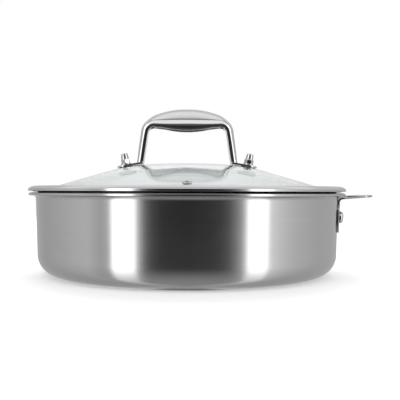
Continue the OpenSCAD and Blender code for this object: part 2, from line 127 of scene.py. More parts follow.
# The studio's light as (degrees, level), where RAMP_TOP is the brightest level. The sides go
# round from the front, towards the helper handle first. The roof goes from the front over the
# pan to the back.
RAMP_TOP = 2.5
SIDE_STOPS = (
    (-180, 0.85), (-170, 0.8), (-160, 0.48), (-129, 0.48), (-101, 0.58), (-90, 0.63), (-76, 0.68),
    (-64, 0.52), (-57, 0.62), (-53.5, 2.3), (-38.5, 2.3), (-35, 0.7), (-30, 0.18), (-25, 0.07),
    (-18, 0.03), (0, 0.018), (16, 0.028), (23, 0.045), (30, 0.1), (37, 0.32), (41, 0.6),
    (45.5, 2.3), (58, 2.3), (61.5, 1.05), (69, 0.88), (77, 0.75), (86, 0.66), (109, 0.55),
    (160, 0.48), (170, 0.8), (180, 0.85))
ROOF_STOPS = (
    (-180, 0.45), (0, 0.035), (33, 0.08), (40, 1.1), (66, 1.0), (74, 0.8), (84, 0.45), (100, 0.5),
    (112, 0.75), (124, 0.85), (138, 0.85), (148, 0.55), (172, 0.55), (180, 0.5))
ROOF_FROM, ROOF_TO = math.sin(math.radians(30)), math.sin(math.radians(42))

# The studio's ground, the dark low behind the pan, and a haze that grows with height, with the
# spans of a direction's x, y and z over which they and the low front fade.
GROUND, GROUND_POWER, GROUND_SHARE = 0.38, 1.5, 0.87
BEHIND, BEHIND_X, BEHIND_Y, BEHIND_Z = 0.05, (0.05, 0.1), (0.3, 0.8), (-0.02, 0.05)
HAZE, HAZE_Z = 0.08, (0.0, 0.5)
FRONT_Y, FRONT_Z = (-0.05, 0.35), (-0.1, 0.05)

# The floor's thickness and its distance under the pan, and how near and far the camera sees.
FLOOR_T, FLOOR_GAP = 0.02, 0.0001
NEAREST, FARTHEST = 0.01, 50


# ---------------------------------------------------------------- properties


def size(name, description, *millimetres):
    """A length or a row of lengths, written in millimetres and kept in metres."""
    lengths = [v / 1000 for v in millimetres]
    common = dict(name=name, description=description, precision=5, unit="LENGTH")
    if len(lengths) > 1:
        return bpy.props.FloatVectorProperty(default=lengths, size=len(lengths), **common)
    return bpy.props.FloatProperty(default=lengths[0], min=0.0, subtype="DISTANCE", **common)


def angle(name, description, degrees):
    """An angle, written in degrees and kept in radians."""
    return bpy.props.FloatProperty(
        name=name, description=description, default=math.radians(degrees),
        subtype="ANGLE", unit="ROTATION")


def share(name, description, default):
    """A number from 0 to 1."""
    return bpy.props.FloatProperty(
        name=name, description=description, default=default, min=0.0, max=1.0, subtype="FACTOR")


def strength(name, description, default):
    """A light level, where 1 shows as white."""
    return bpy.props.FloatProperty(name=name, description=description, default=default, min=0.0)


def tint(name, description, default):
    """A linear colour."""
    return bpy.props.FloatVectorProperty(
        name=name, description=description, default=default, size=3, min=0.0, max=1.0,
        subtype="COLOR")


class PanSizes(bpy.types.PropertyGroup):
    mouth_d: size("Mouth", "Inside diameter at the mouth", 280)
    height: size("Height", "Height from the underside to the top of the lip", 76.7)
    corner_r: size("Corner", "Outside radius between base and wall", 20)
    wall_lean: angle("Lean", "Outward lean of the wall from upright", 1.7)
    outer_t: size("Outer ply", "Thickness of the outer steel ply", 0.6)
    core_t: size("Core ply", "Thickness of the aluminium core ply", 1.4)
    inner_t: size("Inner ply", "Thickness of the inner steel ply", 0.6)
    lip_bend_r: size("Lip bend", "Radius of the hollow bend under the lip", 3.6)
    lip_droop: angle("Lip droop", "How far the lip droops past level", 20)


class HelperSizes(bpy.types.PropertyGroup):
    strip_t: size("Strip", "Thickness of the strip", 1.7)
    edge_r: size("Edge", "Radius of the strip's worn edges", 0.35)
    flange_z: size("Flange foot", "Height of the flange's lower edge", 40.5)
    flange_w: size("Flange width", "Width of the flange across the rivets", 88)
    flange_corner_r: size("Flange corner", "Radius of the flange's lower corners", 9)
    shoulder_r: size("Flange shoulder", "Radius of the flange's upper shoulders", 5)
    elbow_r: size("Elbow", "Inside radius of the bend between flange and loop", 3)
    elbow_gap: size("Elbow gap", "Gap between the lip's underside and the bend", 0.9)
    loop_reach: size("Loop reach", "Reach of the loop past the lip", 27.3)
    corner_gap: size("Corner gap", "Distance between the loop's corner centres", 50)
    corner_r: size("Loop corner", "Outside radius of the loop's corners", 10)
    bow_r: size("Bow", "Radius of the bowed bar", 70)
    root_w: size("Root width", "Width of the loop where it leaves the wall", 79)
    bar: size("Bar", "Width of the loop's bar, seen from above", 8.5)
    window_r: size("Window corner", "Radius of the window's outer corners", 5)
    window_taper: size("Window taper", "How much the window narrows towards the wall", 4)
    rise: angle("Rise", "Rise of the loop towards its bar", 4.5)
    rivet_gap: size("Rivet gap", "Distance between the two rivets", 60)
    rivet_z: size("Rivet height", "Height of the rivets", 54.6)
    rivet_d: size("Rivet", "Diameter of the rivet shanks", 6)
    rivet_head_d: size("Rivet head", "Diameter of the rivet heads", 11)
    rivet_head_h: size("Rivet dome", "Height of the domed heads outside", 3.4)
    rivet_tail_h: size("Rivet tail", "Height of the flat heads inside", 1.4)
    rivet_ease: size("Rivet softness", "Radius that softens the rivets' corners", 0.4)


class GlassSizes(bpy.types.PropertyGroup):
    thickness: size("Glass", "Thickness of the tempered glass", 4)
    crown_r: size("Crown", "Radius of the shallow crown arc", 750)
    crown_reach: size("Crown reach", "Distance at which crown and shoulder meet", 36)
    shoulder_r: size("Shoulder", "Radius of the shoulder arc", 174)
    cone_slope: angle("Slope", "Slope of the dome's outer part", 16.5)
    dome_d: size("Dome", "Diameter at which the slope would meet the brim", 252.8)
    fillet_r: size("Fillet", "Radius of the hollow fillet from dome to brim", 15)
    edge_r: size("Glass edge", "Radius of the ground edge", 1.2)
    bolt_hole_d: size("Bolt hole", "Diameter of the holes for the screws", 8)
    vent_hole_d: size("Vent hole", "Diameter of the hole for the vent", 5.8)


class RimSizes(bpy.types.PropertyGroup):
    band_t: size("Band", "Thickness of the folded band", 0.7)
    lid_gap: size("Lid gap", "Height of the band over the pan's lip", 0.6)
    nose_reach: size("Nose reach", "Overhang of the nose past the mouth", 9.6)
    nose_r: size("Nose", "Radius of the nose", 1.2)
    nose_drop: size("Nose drop", "How far the nose's lower corner hangs below the underside", 0.6)
    bevel_r: size("Bevel", "Radius of the rounded face behind the nose", 7.3)
    bevel_turn: angle("Bevel turn", "Turn of that face from level", 48)
    edge_inset: size("Glass inset", "Distance from the nose's tip to the glass", 5.7)
    band_grip: size("Grip", "Width of the band on top of the glass", 8)
    skirt_depth: size("Skirt", "Depth of the skirt", 8.3)
    skirt_fold_r: size("Skirt fold", "Radius between underside and skirt", 1)
    seat_angle: angle("Seat", "Slope of the skirt's seat from upright", 20)
    seat_clear: size("Seat clearance", "Clearance between seat and lip", 0.3)
    seat_run: size("Seat run", "How far the seat's slope runs out past the lip", 0.5)


class VentSizes(bpy.types.PropertyGroup):
    reach: size("Vent reach", "Distance of the vent from the lid's axis", 117)
    flange_d: size("Vent flange", "Diameter of the flange", 8)
    flange_h: size("Flange height", "Height of the flange", 1)
    tube_d: size("Vent tube", "Diameter of the tube", 5.6)
    hole_d: size("Steam hole", "Diameter of the steam hole", 3.6)


class GripSizes(bpy.types.PropertyGroup):
    bolt_reach: size("Bolt reach", "Distance of each bolt from the axis", 58.5)
    rise: size("Rise", "Clear height of the grip's mid line over the glass", 40.8)
    leg_reach: size("Leg reach", "Distance of the legs from the axis, at the foot", 46.4)
    leg_lean: angle("Leg lean", "Lean of the legs from upright", 8.8)
    bend_r: size("Shoulder bend", "Radius of the shoulders' mid line", 11)
    foot_t: size("Foot", "Thickness of the feet", 1.8)
    foot_w: size("Foot width", "Width of the feet", 17)
    leg_w: size("Leg width", "Width of the legs, front to back", 15.5)
    shoulder_w: size("Shoulder width", "Width of the shoulders, front to back", 17.5)
    grip_w: size("Grip width", "Width of the grip, front to back", 21)
    top: size("Crown", "Height of the grip over its mid line", 11.8)
    belly: size("Belly", "Depth of the grip below its mid line", 9.4)
    foot_back: size("Foot's heel", "Reach of the feet inside the legs' mid line", 4.7)
    outside: size("Outside", "Thickness outside the mid line, from the foot to the grip",
                  2.1, 2.5, 2.9, 3.15, 3.9, 6.2, 8.65, 11.1)
    inside: size("Inside", "Thickness inside the mid line, from the foot to the grip",
                 4.4, 4.5, 4.5, 6.1, 6.9, 8.2, 9.1)
    crease: size("Crease", "Height of the crease over the mid line, from the foot to the grip",
                 0.3, 0.3, 0.8, 1.1)
    edge: size("Edge", "Height of the edge under the bevel, from the foot to the grip",
               -1.0, -1.1, -2.4, -2.7)
    satin_rise: size("Satin", "Height over the grip's mid line where its satin begins", 0.958)


class BoltSizes(bpy.types.PropertyGroup):
    screw_d: size("Screw", "Diameter of the screws", 5)
    flats: size("Flats", "Width across the nuts' flats", 8)
    nut_h: size("Nut height", "Height of the acorn nuts", 10)
    hex_h: size("Hexagon", "Height of the nuts' hexagon", 4)
    nut_turn: angle("Nut turn", "Turn of the left nut's hexagon against the right one's", 30)
    dome_d: size("Nut dome", "Diameter of the nuts' dome where it leaves the hexagon", 7.7)
    tip_d: size("Nut tip", "Diameter of the nuts' dome just under its top", 6.5)
    nut_chamfer: size("Nut chamfer", "Height of the chamfers on the nuts' hexagon", 0.6)
    nut_rounding: size("Nut rounding", "Height of the nuts' rounded top", 1.2)
    washer_d: size("Washer", "Diameter of the washers under the nuts", 10)
    washer_t: size("Washer thickness", "Thickness of those washers", 1.4)
    gasket_d: size("Gasket", "Diameter of the gaskets on the glass", 13.5)
    gasket_t: size("Gasket thickness", "Thickness of the gaskets on the glass", 0.6)
    cup_d: size("Cup", "Diameter of the soft cups under the glass", 17.5)
    cup_h: size("Cup height", "Height of the soft cups", 4.6)
    cup_edge_r: size("Cup edge", "Radius of the cups' lower edge", 1.2)
    head_d: size("Screw head", "Diameter of the screw heads", 9.2)
    head_h: size("Screw head height", "Height of the screw heads", 2.2)
    cross_w: size("Cross", "Half the width of the cross in the screw heads", 0.6)
    cross_l: size("Cross arm", "Reach of that cross from its middle", 2.2)
    thread_in: size("Thread", "Length of the screws inside the nuts", 6)
    head_gap: size("Head gap", "How far the screw heads sit inside the cups' foot", 0.2)
    pit_clear: size("Pit clearance", "Radial clearance of the washers inside the cups", 0.4)
    cup_chamfer: size("Cup chamfer", "Size of the cups' two small chamfers", 0.6)
    inner_d: size("Inner washer", "Diameter of the washers inside the cups", 10.5)
    inner_t: size("Inner thickness", "Thickness of those washers", 1)
    clear: size("Clearance", "Radial clearance of shanks in their holes", 0.1)
    glass_clear: size("Glass clearance", "Clearance to the curved glass", 0.25)


class Finishes(bpy.types.PropertyGroup):
    steel: tint("Brushed steel", "Colour of the pan's steel", (0.6, 0.6, 0.6))
    bright: tint("Bright steel", "Colour of the polished steel", (0.66, 0.66, 0.66))
    # The strip's steel colour is made darker than the pan's steel as painted shade, standing in for
    # the dark reflections on its front edges.
    strip: tint("Strip steel", "Colour of the helper handle's strip", (0.42, 0.42, 0.42))
    dull: tint("Dull steel", "Colour of the vent's pressed steel", (0.62, 0.62, 0.62))
    aluminium: tint("Aluminium", "Colour of the core ply", (0.72, 0.73, 0.75))
    glass: tint("Glass", "Colour of the glass", (0.955, 0.985, 0.99))
    silicone: tint("Silicone", "Colour of the soft gaskets", (0.86, 0.9, 0.92))
    brush: share("Brush", "How far the brushing stretches reflections", 0.75)


class StageSettings(bpy.types.PropertyGroup):
    camera_reach: size("Camera distance", "Distance of the camera from the pan's axis", 651)
    camera_height: size("Camera height", "Height of the camera", 77.4)
    camera_shift: bpy.props.FloatProperty(
        name="Camera shift", description="Sideways shift of the lens, in sensor widths",
        default=0.0323)
    camera_roll: angle("Camera roll", "Roll of the camera to the left", 0.2)
    camera_pitch: angle("Camera pitch", "Turn of the camera downwards", 0.68)
    lens: bpy.props.FloatProperty(
        name="Lens", description="Focal length in millimetres", default=60.62, unit="CAMERA")
    sensor: bpy.props.FloatProperty(
        name="Sensor", description="Width of the sensor in millimetres", default=36, unit="CAMERA")
    floor_r: size("Floor", "Radius of the round floor", 1500)
    floor_tint: tint("Floor colour", "Colour of the pale floor", (0.86, 0.86, 0.86))
    floor_glow: strength("Floor glow", "Light the floor adds for the camera", 0.33)
    back_light: strength("Back light", "Level of the soft light behind the object", 1.0)
    back_rise: angle("Back rise", "Height of that light over the floor", 50)
    back_spread: angle("Back spread", "Width of that light as seen from the object", 50)
    studio: strength("Studio", "Level of the studio's light", 1.0)


class SautePan(bpy.types.PropertyGroup):
    pan: bpy.props.PointerProperty(type=PanSizes)
    helper: bpy.props.PointerProperty(type=HelperSizes)
    glass: bpy.props.PointerProperty(type=GlassSizes)
    rim: bpy.props.PointerProperty(type=RimSizes)
    vent: bpy.props.PointerProperty(type=VentSizes)
    grip: bpy.props.PointerProperty(type=GripSizes)
    bolt: bpy.props.PointerProperty(type=BoltSizes)
    finish: bpy.props.PointerProperty(type=Finishes)
    stage: bpy.props.PointerProperty(type=StageSettings)


# ------------------------------------------------------------- plane outlines


def along(turn):
    """The unit vector at an angle from the first axis."""
    return np.array([math.cos(turn), math.sin(turn)])


def arc(centre, radius, start, end, count=13):
    """Points on a circle: centre + radius (cos a, sin a), for angles a in degrees."""
    a = np.radians(np.linspace(start, end, count))
    return np.asarray(centre) + radius * np.column_stack([np.cos(a), np.sin(a)])


def units(vectors):
    """The vectors, each made one long."""
    return vectors / np.linalg.norm(vectors, axis=1)[:, None]


def to_left(vectors):
    """The flat vectors, each turned left by a quarter turn."""
    return np.column_stack([-vectors[:, 1], vectors[:, 0]])


def filled(path, step=FILL_STEP):
    """The same path with points added on its straight runs, so that none is over step long."""
    path = np.asarray(path, float)
    counts = np.ceil(np.linalg.norm(np.diff(path, axis=0), axis=1) / step).astype(int)
    places = [i + np.arange(max(n, 1)) / max(n, 1) for i, n in enumerate(counts)]
    places = np.concatenate([*places, [len(path) - 1]])
    return np.column_stack([np.interp(places, np.arange(len(path)), c) for c in path.T])


def beside(path, t):
    """The path moved to its left by t, each point along the mean of its two sides' normals."""
    left = to_left(units(np.diff(path, axis=0)))
    mean = np.vstack([left[:1], left]) + np.vstack([left, left[-1:]])
    return path + mean * (2 * t / (mean ** 2).sum(1))[:, None]


def softened(corners, radius, closed=True, count=6):
    """An outline with soft corners: each becomes the quadratic curve from a point on the side
    before it to one on the side after it, both at a distance of radius or less."""
    corners = np.asarray(corners, float)
    back, on = np.roll(corners, 1, 0) - corners, np.roll(corners, -1, 0) - corners
    len_back, len_on = np.linalg.norm(back, axis=1), np.linalg.norm(on, axis=1)
    reach = np.minimum(radius, SIDE_SHARE * np.minimum(len_back, len_on))
    start = (corners + back * (reach / np.maximum(len_back, TINY))[:, None])[:, None]
    end = (corners + on * (reach / np.maximum(len_on, TINY))[:, None])[:, None]
    u = np.linspace(0, 1, count)[None, :, None]
    curve = (1 - u) ** 2 * start + 2 * u * (1 - u) * corners[:, None] + u * u * end
    if closed:
        return curve.reshape(-1, 2)
    return np.vstack([corners[:1], curve[1:-1].reshape(-1, 2), corners[-1:]])


def ring_section(inner, outer, low, high, ease):
    """The section of a flat ring: a rectangle in (r, z) with soft corners."""
    return softened([[inner, low], [outer, low], [outer, high], [inner, high]], ease)


def flowing(at, places, values):
    """A smooth curve through values at places: cubic Hermite pieces, level at both ends."""
    places, values = np.asarray(places, float), np.asarray(values, float)
    slopes = np.gradient(values, places)
    slopes[[0, -1]] = 0
    i = np.clip(np.searchsorted(places, at, side="right") - 1, 0, len(places) - 2)
    width = places[i + 1] - places[i]
    u = np.clip((at - places[i]) / width, 0, 1)
    return (values[i] * (1 + 2 * u) * (1 - u) ** 2 + values[i + 1] * u * u * (3 - 2 * u)
            + width * (slopes[i] * u * (1 - u) ** 2 - slopes[i + 1] * u * u * (1 - u)))


# ------------------------------------------------------------------- surfaces


def grid_quads(rows, columns, closed):
    """Quads of a grid whose columns go round; its rows go round too if it is closed."""
    r = np.arange(rows if closed else rows - 1)[:, None]
    c = np.arange(columns)[None, :]
    r2, c2 = (r + 1) % rows, (c + 1) % columns
    return np.stack(np.broadcast_arrays(
        r * columns + c, r * columns + c2, r2 * columns + c2, r2 * columns + c), -1).reshape(-1, 4)


def capped(points, rows, columns, first, last):
    """A grid of rows that go round, closed by one point at each end."""
    c = np.arange(columns)
    n, top = len(points), (rows - 1) * columns
    tris = np.vstack([
        np.column_stack([(c + 1) % columns, c, np.full(columns, n)]),
        np.column_stack([top + c, top + (c + 1) % columns, np.full(columns, n + 1)])])
    return np.vstack([points, first, last]), grid_quads(rows, columns, False), tris


def turns(count):
    """Even angles of a full turn."""
    return np.arange(count) * (2 * np.pi / count)


def spun(r, z, a):
    """Points (r cos a, r sin a, z), a row for each r and z and a column for each angle a."""
    return np.stack([r * np.cos(a), r * np.sin(a), z + 0 * a], -1).reshape(-1, 3)


def turned(path, segments=ROUND):
    """A path (r, z) turned round Z to (r cos a, r sin a, z). One from axis to axis ends in single
    points; any other is closed on itself."""
    path = np.asarray(path, float)
    solid = path[0, 0] < TINY and path[-1, 0] < TINY
    rows = path[1:-1] if solid else path
    points = spun(rows[:, :1], rows[:, 1:], turns(segments))
    if solid:
        first, last = (0, 0, path[0, 1]), (0, 0, path[-1, 1])
        return capped(points, len(rows), segments, first, last)
    return points, grid_quads(len(rows), segments, True), np.zeros((0, 3), int)


def rod(radius, low, high):
    """An upright cylinder: its section turned round Z."""
    return turned([[0, low], [radius, low], [radius, high], [0, high]], SMALL_ROUND)


def placed(surface, turn, offset=(0, 0, 0)):
    """A surface moved by a rotation matrix and then an offset."""
    points, quads, tris = surface
    return points @ np.asarray(turn).T + np.asarray(offset), quads, tris


def about_y(turn):
    """Rotation matrix about Y."""
    c, s = math.cos(turn), math.sin(turn)
    return np.array([[c, 0, s], [0, 1, 0], [-s, 0, c]])


def about_z(turn):
    """Rotation matrix about Z."""
    c, s = math.cos(turn), math.sin(turn)
    return np.array([[c, -s, 0], [s, c, 0], [0, 0, 1]])


def volume(points, faces):
    """Signed volume of a closed surface: the sum of a . (b x c) / 6 over its triangles."""
    a, b, c = (points[faces[:, k]] for k in range(3))
    return np.einsum("ij,ij->", a, np.cross(b, c)) / 6


def smooth_mesh(name, surface):
    """A mesh from points, quads and triangles, facing outwards, smooth but for sharp folds."""
    points, quads, tris = surface
    split = np.vstack([quads[:, [0, 1, 2]], quads[:, [0, 2, 3]], tris])
    if volume(points - points.mean(0), split) < 0:
        quads, tris = quads[:, ::-1], tris[:, ::-1]
    corners = np.concatenate([quads.ravel(), tris.ravel()]).astype(np.int32)
    sides = np.concatenate([np.full(len(quads), 4), np.full(len(tris), 3)])
    starts = np.concatenate([[0], np.cumsum(sides)[:-1]]).astype(np.int32)
    mesh = bpy.data.meshes.new(name)
    mesh.vertices.add(len(points))
    mesh.vertices.foreach_set("co", points.astype(np.float32).ravel())
    mesh.loops.add(len(corners))
    mesh.loops.foreach_set("vertex_index", corners)
    mesh.polygons.add(len(sides))
    mesh.polygons.foreach_set("loop_start", starts)
    mesh.update(calc_edges=True)
    if mesh.validate():
        raise RuntimeError(f"{name}: the surface has broken faces")
    shade(mesh)
    return mesh


def shade(mesh):
    """Smooth shading that keeps folds sharper than SHARP."""
    mesh.polygons.foreach_set("use_smooth", np.ones(len(mesh.polygons), bool))
    mesh.set_sharp_from_angle(angle=SHARP)


def put(name, data):
    """A new object of the scene."""
    made = bpy.data.objects.new(name, data)
    bpy.context.scene.collection.objects.link(made)
    return made


def carved(name, surface, joined=(), cut=()):
    """A mesh of a surface with others joined to it and others cut out of it, exactly."""
    blank = put(name, smooth_mesh(name, surface))
    tools = []
    for operation, surfaces in (("UNION", joined), ("DIFFERENCE", cut)):
        for other in surfaces:
            tools.append(put("tool", smooth_mesh("tool", other)))
            change = blank.modifiers.new("change", "BOOLEAN")
            change.operation, change.solver, change.object = operation, "EXACT", tools[-1]
    bpy.context.view_layer.update()
    ready = blank.evaluated_get(bpy.context.evaluated_depsgraph_get())
    mesh = bpy.data.meshes.new_from_object(ready)
    mesh.name = name
    for spare in (blank, *tools):
        bpy.data.objects.remove(spare)
    if not mesh.polygons:
        raise RuntimeError(f"{name}: nothing is left after carving")
    shade(mesh)
    return mesh


def show(name, shape, finish, body, slot, node):
    """Puts a surface or a carved mesh in the scene as a piece with a finish. It rides a body and
    stands for a CAD node."""
    mesh = smooth_mesh(name, shape) if isinstance(shape, tuple) else shape
    mesh.materials.clear()
    mesh.materials.append(finish_of(finish))
    piece = put(name, mesh)
    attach(piece, body)
    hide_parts(node)


# ---------------------------------------------------------------- the shapes


def pan_lines(p):
    """The pan's section: its lines in (r, z), as the part's source has them."""
    wall_t = p.outer_t + p.core_t + p.inner_t
    mouth_r = p.mouth_d / 2
    top_r = p.lip_bend_r + wall_t
    lip_centre = np.array([mouth_r + top_r, p.height - top_r])
    out = along(-p.wall_lean)
    wall_top = lip_centre - p.lip_bend_r * out
    corner_x = (wall_top @ out - p.corner_r + p.corner_r * math.sin(p.wall_lean)) / math.cos(
        p.wall_lean)
    lean, lip_end = math.degrees(p.wall_lean), 90 - math.degrees(p.lip_droop)

    def skin(depth):
        """The line at a depth inside the outer surface, from the axis to the lip's tip."""
        return filled(np.vstack([
            [0, depth],
            arc([corner_x, p.corner_r], p.corner_r - depth, -90, -lean, 25),
            arc(lip_centre, p.lip_bend_r + depth, 180 - lean, lip_end, 25)]))

    tip = lip_centre + (p.lip_bend_r + wall_t / 2) * along(math.radians(lip_end))
    return SimpleNamespace(
        wall_t=wall_t, mouth_r=mouth_r, top_r=top_r, lip_centre=lip_centre, wall_top=wall_top,
        skin=skin, tip=tip, lip_end=lip_end, tip_r=tip[0] + wall_t / 2,
        wall_r=lambda z: wall_top[0] - (wall_top[1] - z) * math.tan(p.wall_lean))


def dome_lines(g, r, p):
    """The lid's heights and the glass's section in (r, z)."""
    band_z = p.height + r.lid_gap
    brim_z = band_z + r.band_t
    brim_top = brim_z + g.thickness
    crown_turn = math.asin(g.crown_reach / g.crown_r)
    slope = g.cone_slope
    shoulder_x = (g.crown_r - g.shoulder_r) * math.sin(crown_turn)
    shoulder_end = shoulder_x + g.shoulder_r * math.sin(slope)
    shoulder_z = (brim_top + (g.dome_d / 2 - shoulder_end) * math.tan(slope)
                  - g.shoulder_r * math.cos(slope))
    crown_z = shoulder_z - (g.crown_r - g.shoulder_r) * math.cos(crown_turn)
    fillet = [g.dome_d / 2 + g.fillet_r * math.tan(slope / 2), brim_top + g.fillet_r]
    turn, steep = math.degrees(crown_turn), math.degrees(slope)

    def skin(depth):
        """The line at a depth below the outer surface, from the axis to the brim."""
        return np.vstack([
            arc([0, crown_z], g.crown_r - depth, 90, 90 - turn, 14),
            arc([shoulder_x, shoulder_z], g.shoulder_r - depth, 90 - turn, 90 - steep, 20),
            arc(fillet, g.fillet_r + depth, 270 - steep, 270, 12)])

    def tilt(reach):
        """Slope of the dome at a distance from the axis."""
        if reach < g.crown_reach:
            return math.asin(reach / g.crown_r)
        return math.asin((reach - shoulder_x) / g.shoulder_r) if reach < shoulder_end else slope

    def height(reach):
        """Height of the dome at a distance from the axis."""
        if reach < g.crown_reach:
            return crown_z + g.crown_r * math.cos(tilt(reach))
        if reach < shoulder_end:
            return shoulder_z + g.shoulder_r * math.cos(tilt(reach))
        return brim_top + (g.dome_d / 2 - reach) * math.tan(slope)

    return SimpleNamespace(
        band_z=band_z, brim_z=brim_z, brim_top=brim_top, skin=skin, tilt=tilt, height=height,
        glass_r=p.mouth_d / 2 + r.nose_reach - r.edge_inset, top=crown_z + g.crown_r)


def on_dome(surface, dome, reach, turn):
    """A surface stood on the dome: its Z runs squarely out of the glass at that place."""
    about = about_z(turn)
    spot = about @ np.array([reach, 0, dome.height(reach)])
    return placed(surface, about @ about_y(dome.tilt(reach)), spot)


def helper_surface(h, lines, pan):
    """The helper handle as one plate with a window, bent from the wall into a rising loop.

    The plate is flat in (s, y), where s runs up the flange, through the elbow and out along the
    loop. Its outline and its window are each given as distance by angle round the window's
    middle, and every row of the grid is a blend of the two. A point (s, y, n), with n its depth
    in the strip, lies at (sqrt(r r - y y), y, z), where (r, z) is the strip's section at s, n."""
    half_t = h.strip_t / 2
    bend = h.elbow_r + half_t
    length = bend * (math.pi / 2 - pan.wall_lean - h.rise)
    centre_z = lines.tip[1] - lines.wall_t / 2 - h.elbow_gap - h.strip_t - h.elbow_r
    centre = np.array([
        lines.wall_r(centre_z) + (h.strip_t + h.elbow_r) / math.cos(pan.wall_lean), centre_z])

    def section(s, n):
        """The strip's section: straight up the wall, an arc, then straight out and up."""
        bent = np.clip(s, 0, length)
        turn = math.pi / 2 - pan.wall_lean - bent / bend
        on, side = (np.cos(turn), np.sin(turn)), (np.sin(turn), -np.cos(turn))
        return [centre[k] + (n - bend) * side[k] + (s - bent) * on[k] for k in (0, 1)]

    loop_r, flange_start = section(length, 0)[0], section(0.0, 0)[1]

    def loop_outline(gap, r, bow, x_end, x_root, w_root):
        """Root, two corners and a bowed bar in (x, y), as distances s along the strip."""
        y, xb = gap / 2, x_end - bow
        xc = xb + math.sqrt((bow - r) ** 2 - y * y)
        opening = math.degrees(math.atan2(y, xc - xb))
        root = np.array([x_root - xc, w_root / 2 - y])
        arm = math.degrees(math.atan2(root[1], root[0]) - math.acos(r / np.linalg.norm(root)))
        plan = filled(np.vstack([
            [x_root, -w_root / 2], arc([xc, -y], r, -arm, -opening, 24),
            arc([xb, 0], bow, -opening, opening, 60), arc([xc, y], r, opening, arm, 24),
            [x_root, w_root / 2]]), h.edge_r)
        s = length + (np.hypot(*plan.T) - loop_r) / math.cos(h.rise)
        return np.column_stack([s, plan[:, 1]])

    loop_x = lines.tip_r + h.loop_reach
    loop = loop_outline(
        h.corner_gap, h.corner_r, h.bow_r, loop_x, lines.wall_top[0], h.root_w)
    window = loop_outline(
        h.corner_gap + 2 * (h.corner_r - h.bar - h.window_r) + h.window_taper, h.window_r,
        h.bow_r - h.bar, loop_x - h.bar, centre[0] + h.strip_t + 2 * h.edge_r,
        h.root_w - 2 * h.bar - h.window_taper)
    window = softened(window[::6], h.window_r / 2)
    foot, half_w = h.flange_z - flange_start, h.flange_w / 2
    top = centre_z - h.shoulder_r / 2 - flange_start
    side = np.vstack([
        [top + h.shoulder_r / 4, h.root_w / 2],
        arc([top - h.shoulder_r, half_w - h.shoulder_r], h.shoulder_r, 0, 90, 20),
        arc([foot + h.flange_corner_r, half_w - h.flange_corner_r], h.flange_corner_r, 90, 180, 30),
        [foot, 0]])
    outline = np.vstack([loop, side, (side * [1, -1])[::-1]])
    middle = (window[:, 0].min() + window[:, 0].max()) / 2
    angles = turns(HELPER_TURN)

    def by_angle(path):
        """A closed path as points at even angles round the window's middle."""
        path = filled(np.vstack([path, path[:1]]), h.edge_r) - [middle, 0]
        a = np.arctan2(path[:, 1], path[:, 0]) % (2 * np.pi)
        order = np.argsort(a)
        r = np.interp(angles, a[order], np.hypot(*path.T)[order], period=2 * np.pi)
        points = np.column_stack([middle + r * np.cos(angles), r * np.sin(angles)])
        return points, to_left(units(np.roll(points, -1, 0) - np.roll(points, 1, 0)))

    (rim, rim_in), (hole, hole_in) = by_angle(outline), by_angle(window)
    ease = np.linspace(np.pi / 2, 0, 5)
    depth = half_t - h.edge_r + h.edge_r * np.sin(ease)
    depth = np.concatenate([depth, -depth[::-1]])
    inset = h.edge_r * (1 - np.cos(ease))
    inset = np.concatenate([inset, inset[::-1]])[:, None, None]
    mix = (1 - (1 - np.linspace(0, 1, 32)[1:-1]) ** 2)[:, None, None]
    rim_edge, hole_edge = rim + inset * rim_in, hole - inset * hole_in
    face = rim_edge[0] * (1 - mix) + hole_edge[0] * mix
    flat = np.vstack([rim_edge, face, hole_edge[::-1], face[::-1]])
    depths = np.concatenate([
        depth, np.full(len(face), -half_t), depth[::-1], np.full(len(face), half_t)])[:, None]
    s, y = flat[..., 0], flat[..., 1]
    r, z = section(s, depths + 0 * s)
    points = np.stack([np.sqrt(r * r - y * y), y, z], -1).reshape(-1, 3)
    return points, grid_quads(len(flat), HELPER_TURN, True), np.zeros((0, 3), int)


def bent_line(corners, radii):
    """A line through corners with an arc at each inner one: its points, their lengths along it,
    and where each arc starts and ends."""
    corners = np.asarray(corners, float)
    runs = units(np.diff(corners, axis=0))
    path, marks = [corners[:1]], []
    for here, before, after, radius in zip(corners[1:], runs, runs[1:], radii):
        turn = math.atan2(before[0] * after[1] - before[1] * after[0], before @ after)
        start = here - before * radius * math.tan(abs(turn) / 2)
        left = np.array([-before[1], before[0]]) * math.copysign(radius, turn)
        spin = np.linspace(0, turn, 40)[:, None]
        swing = -left * np.cos(spin) - np.array([-left[1], left[0]]) * np.sin(spin)
        marks += [sum(map(len, path)), sum(map(len, path)) + len(swing) - 1]
        path.append(start + left + swing)
    path = np.vstack([*path, corners[-1:]])
    lengths = np.concatenate([[0], np.cumsum(np.linalg.norm(np.diff(path, axis=0), axis=1))])
    return path, lengths, lengths[marks]


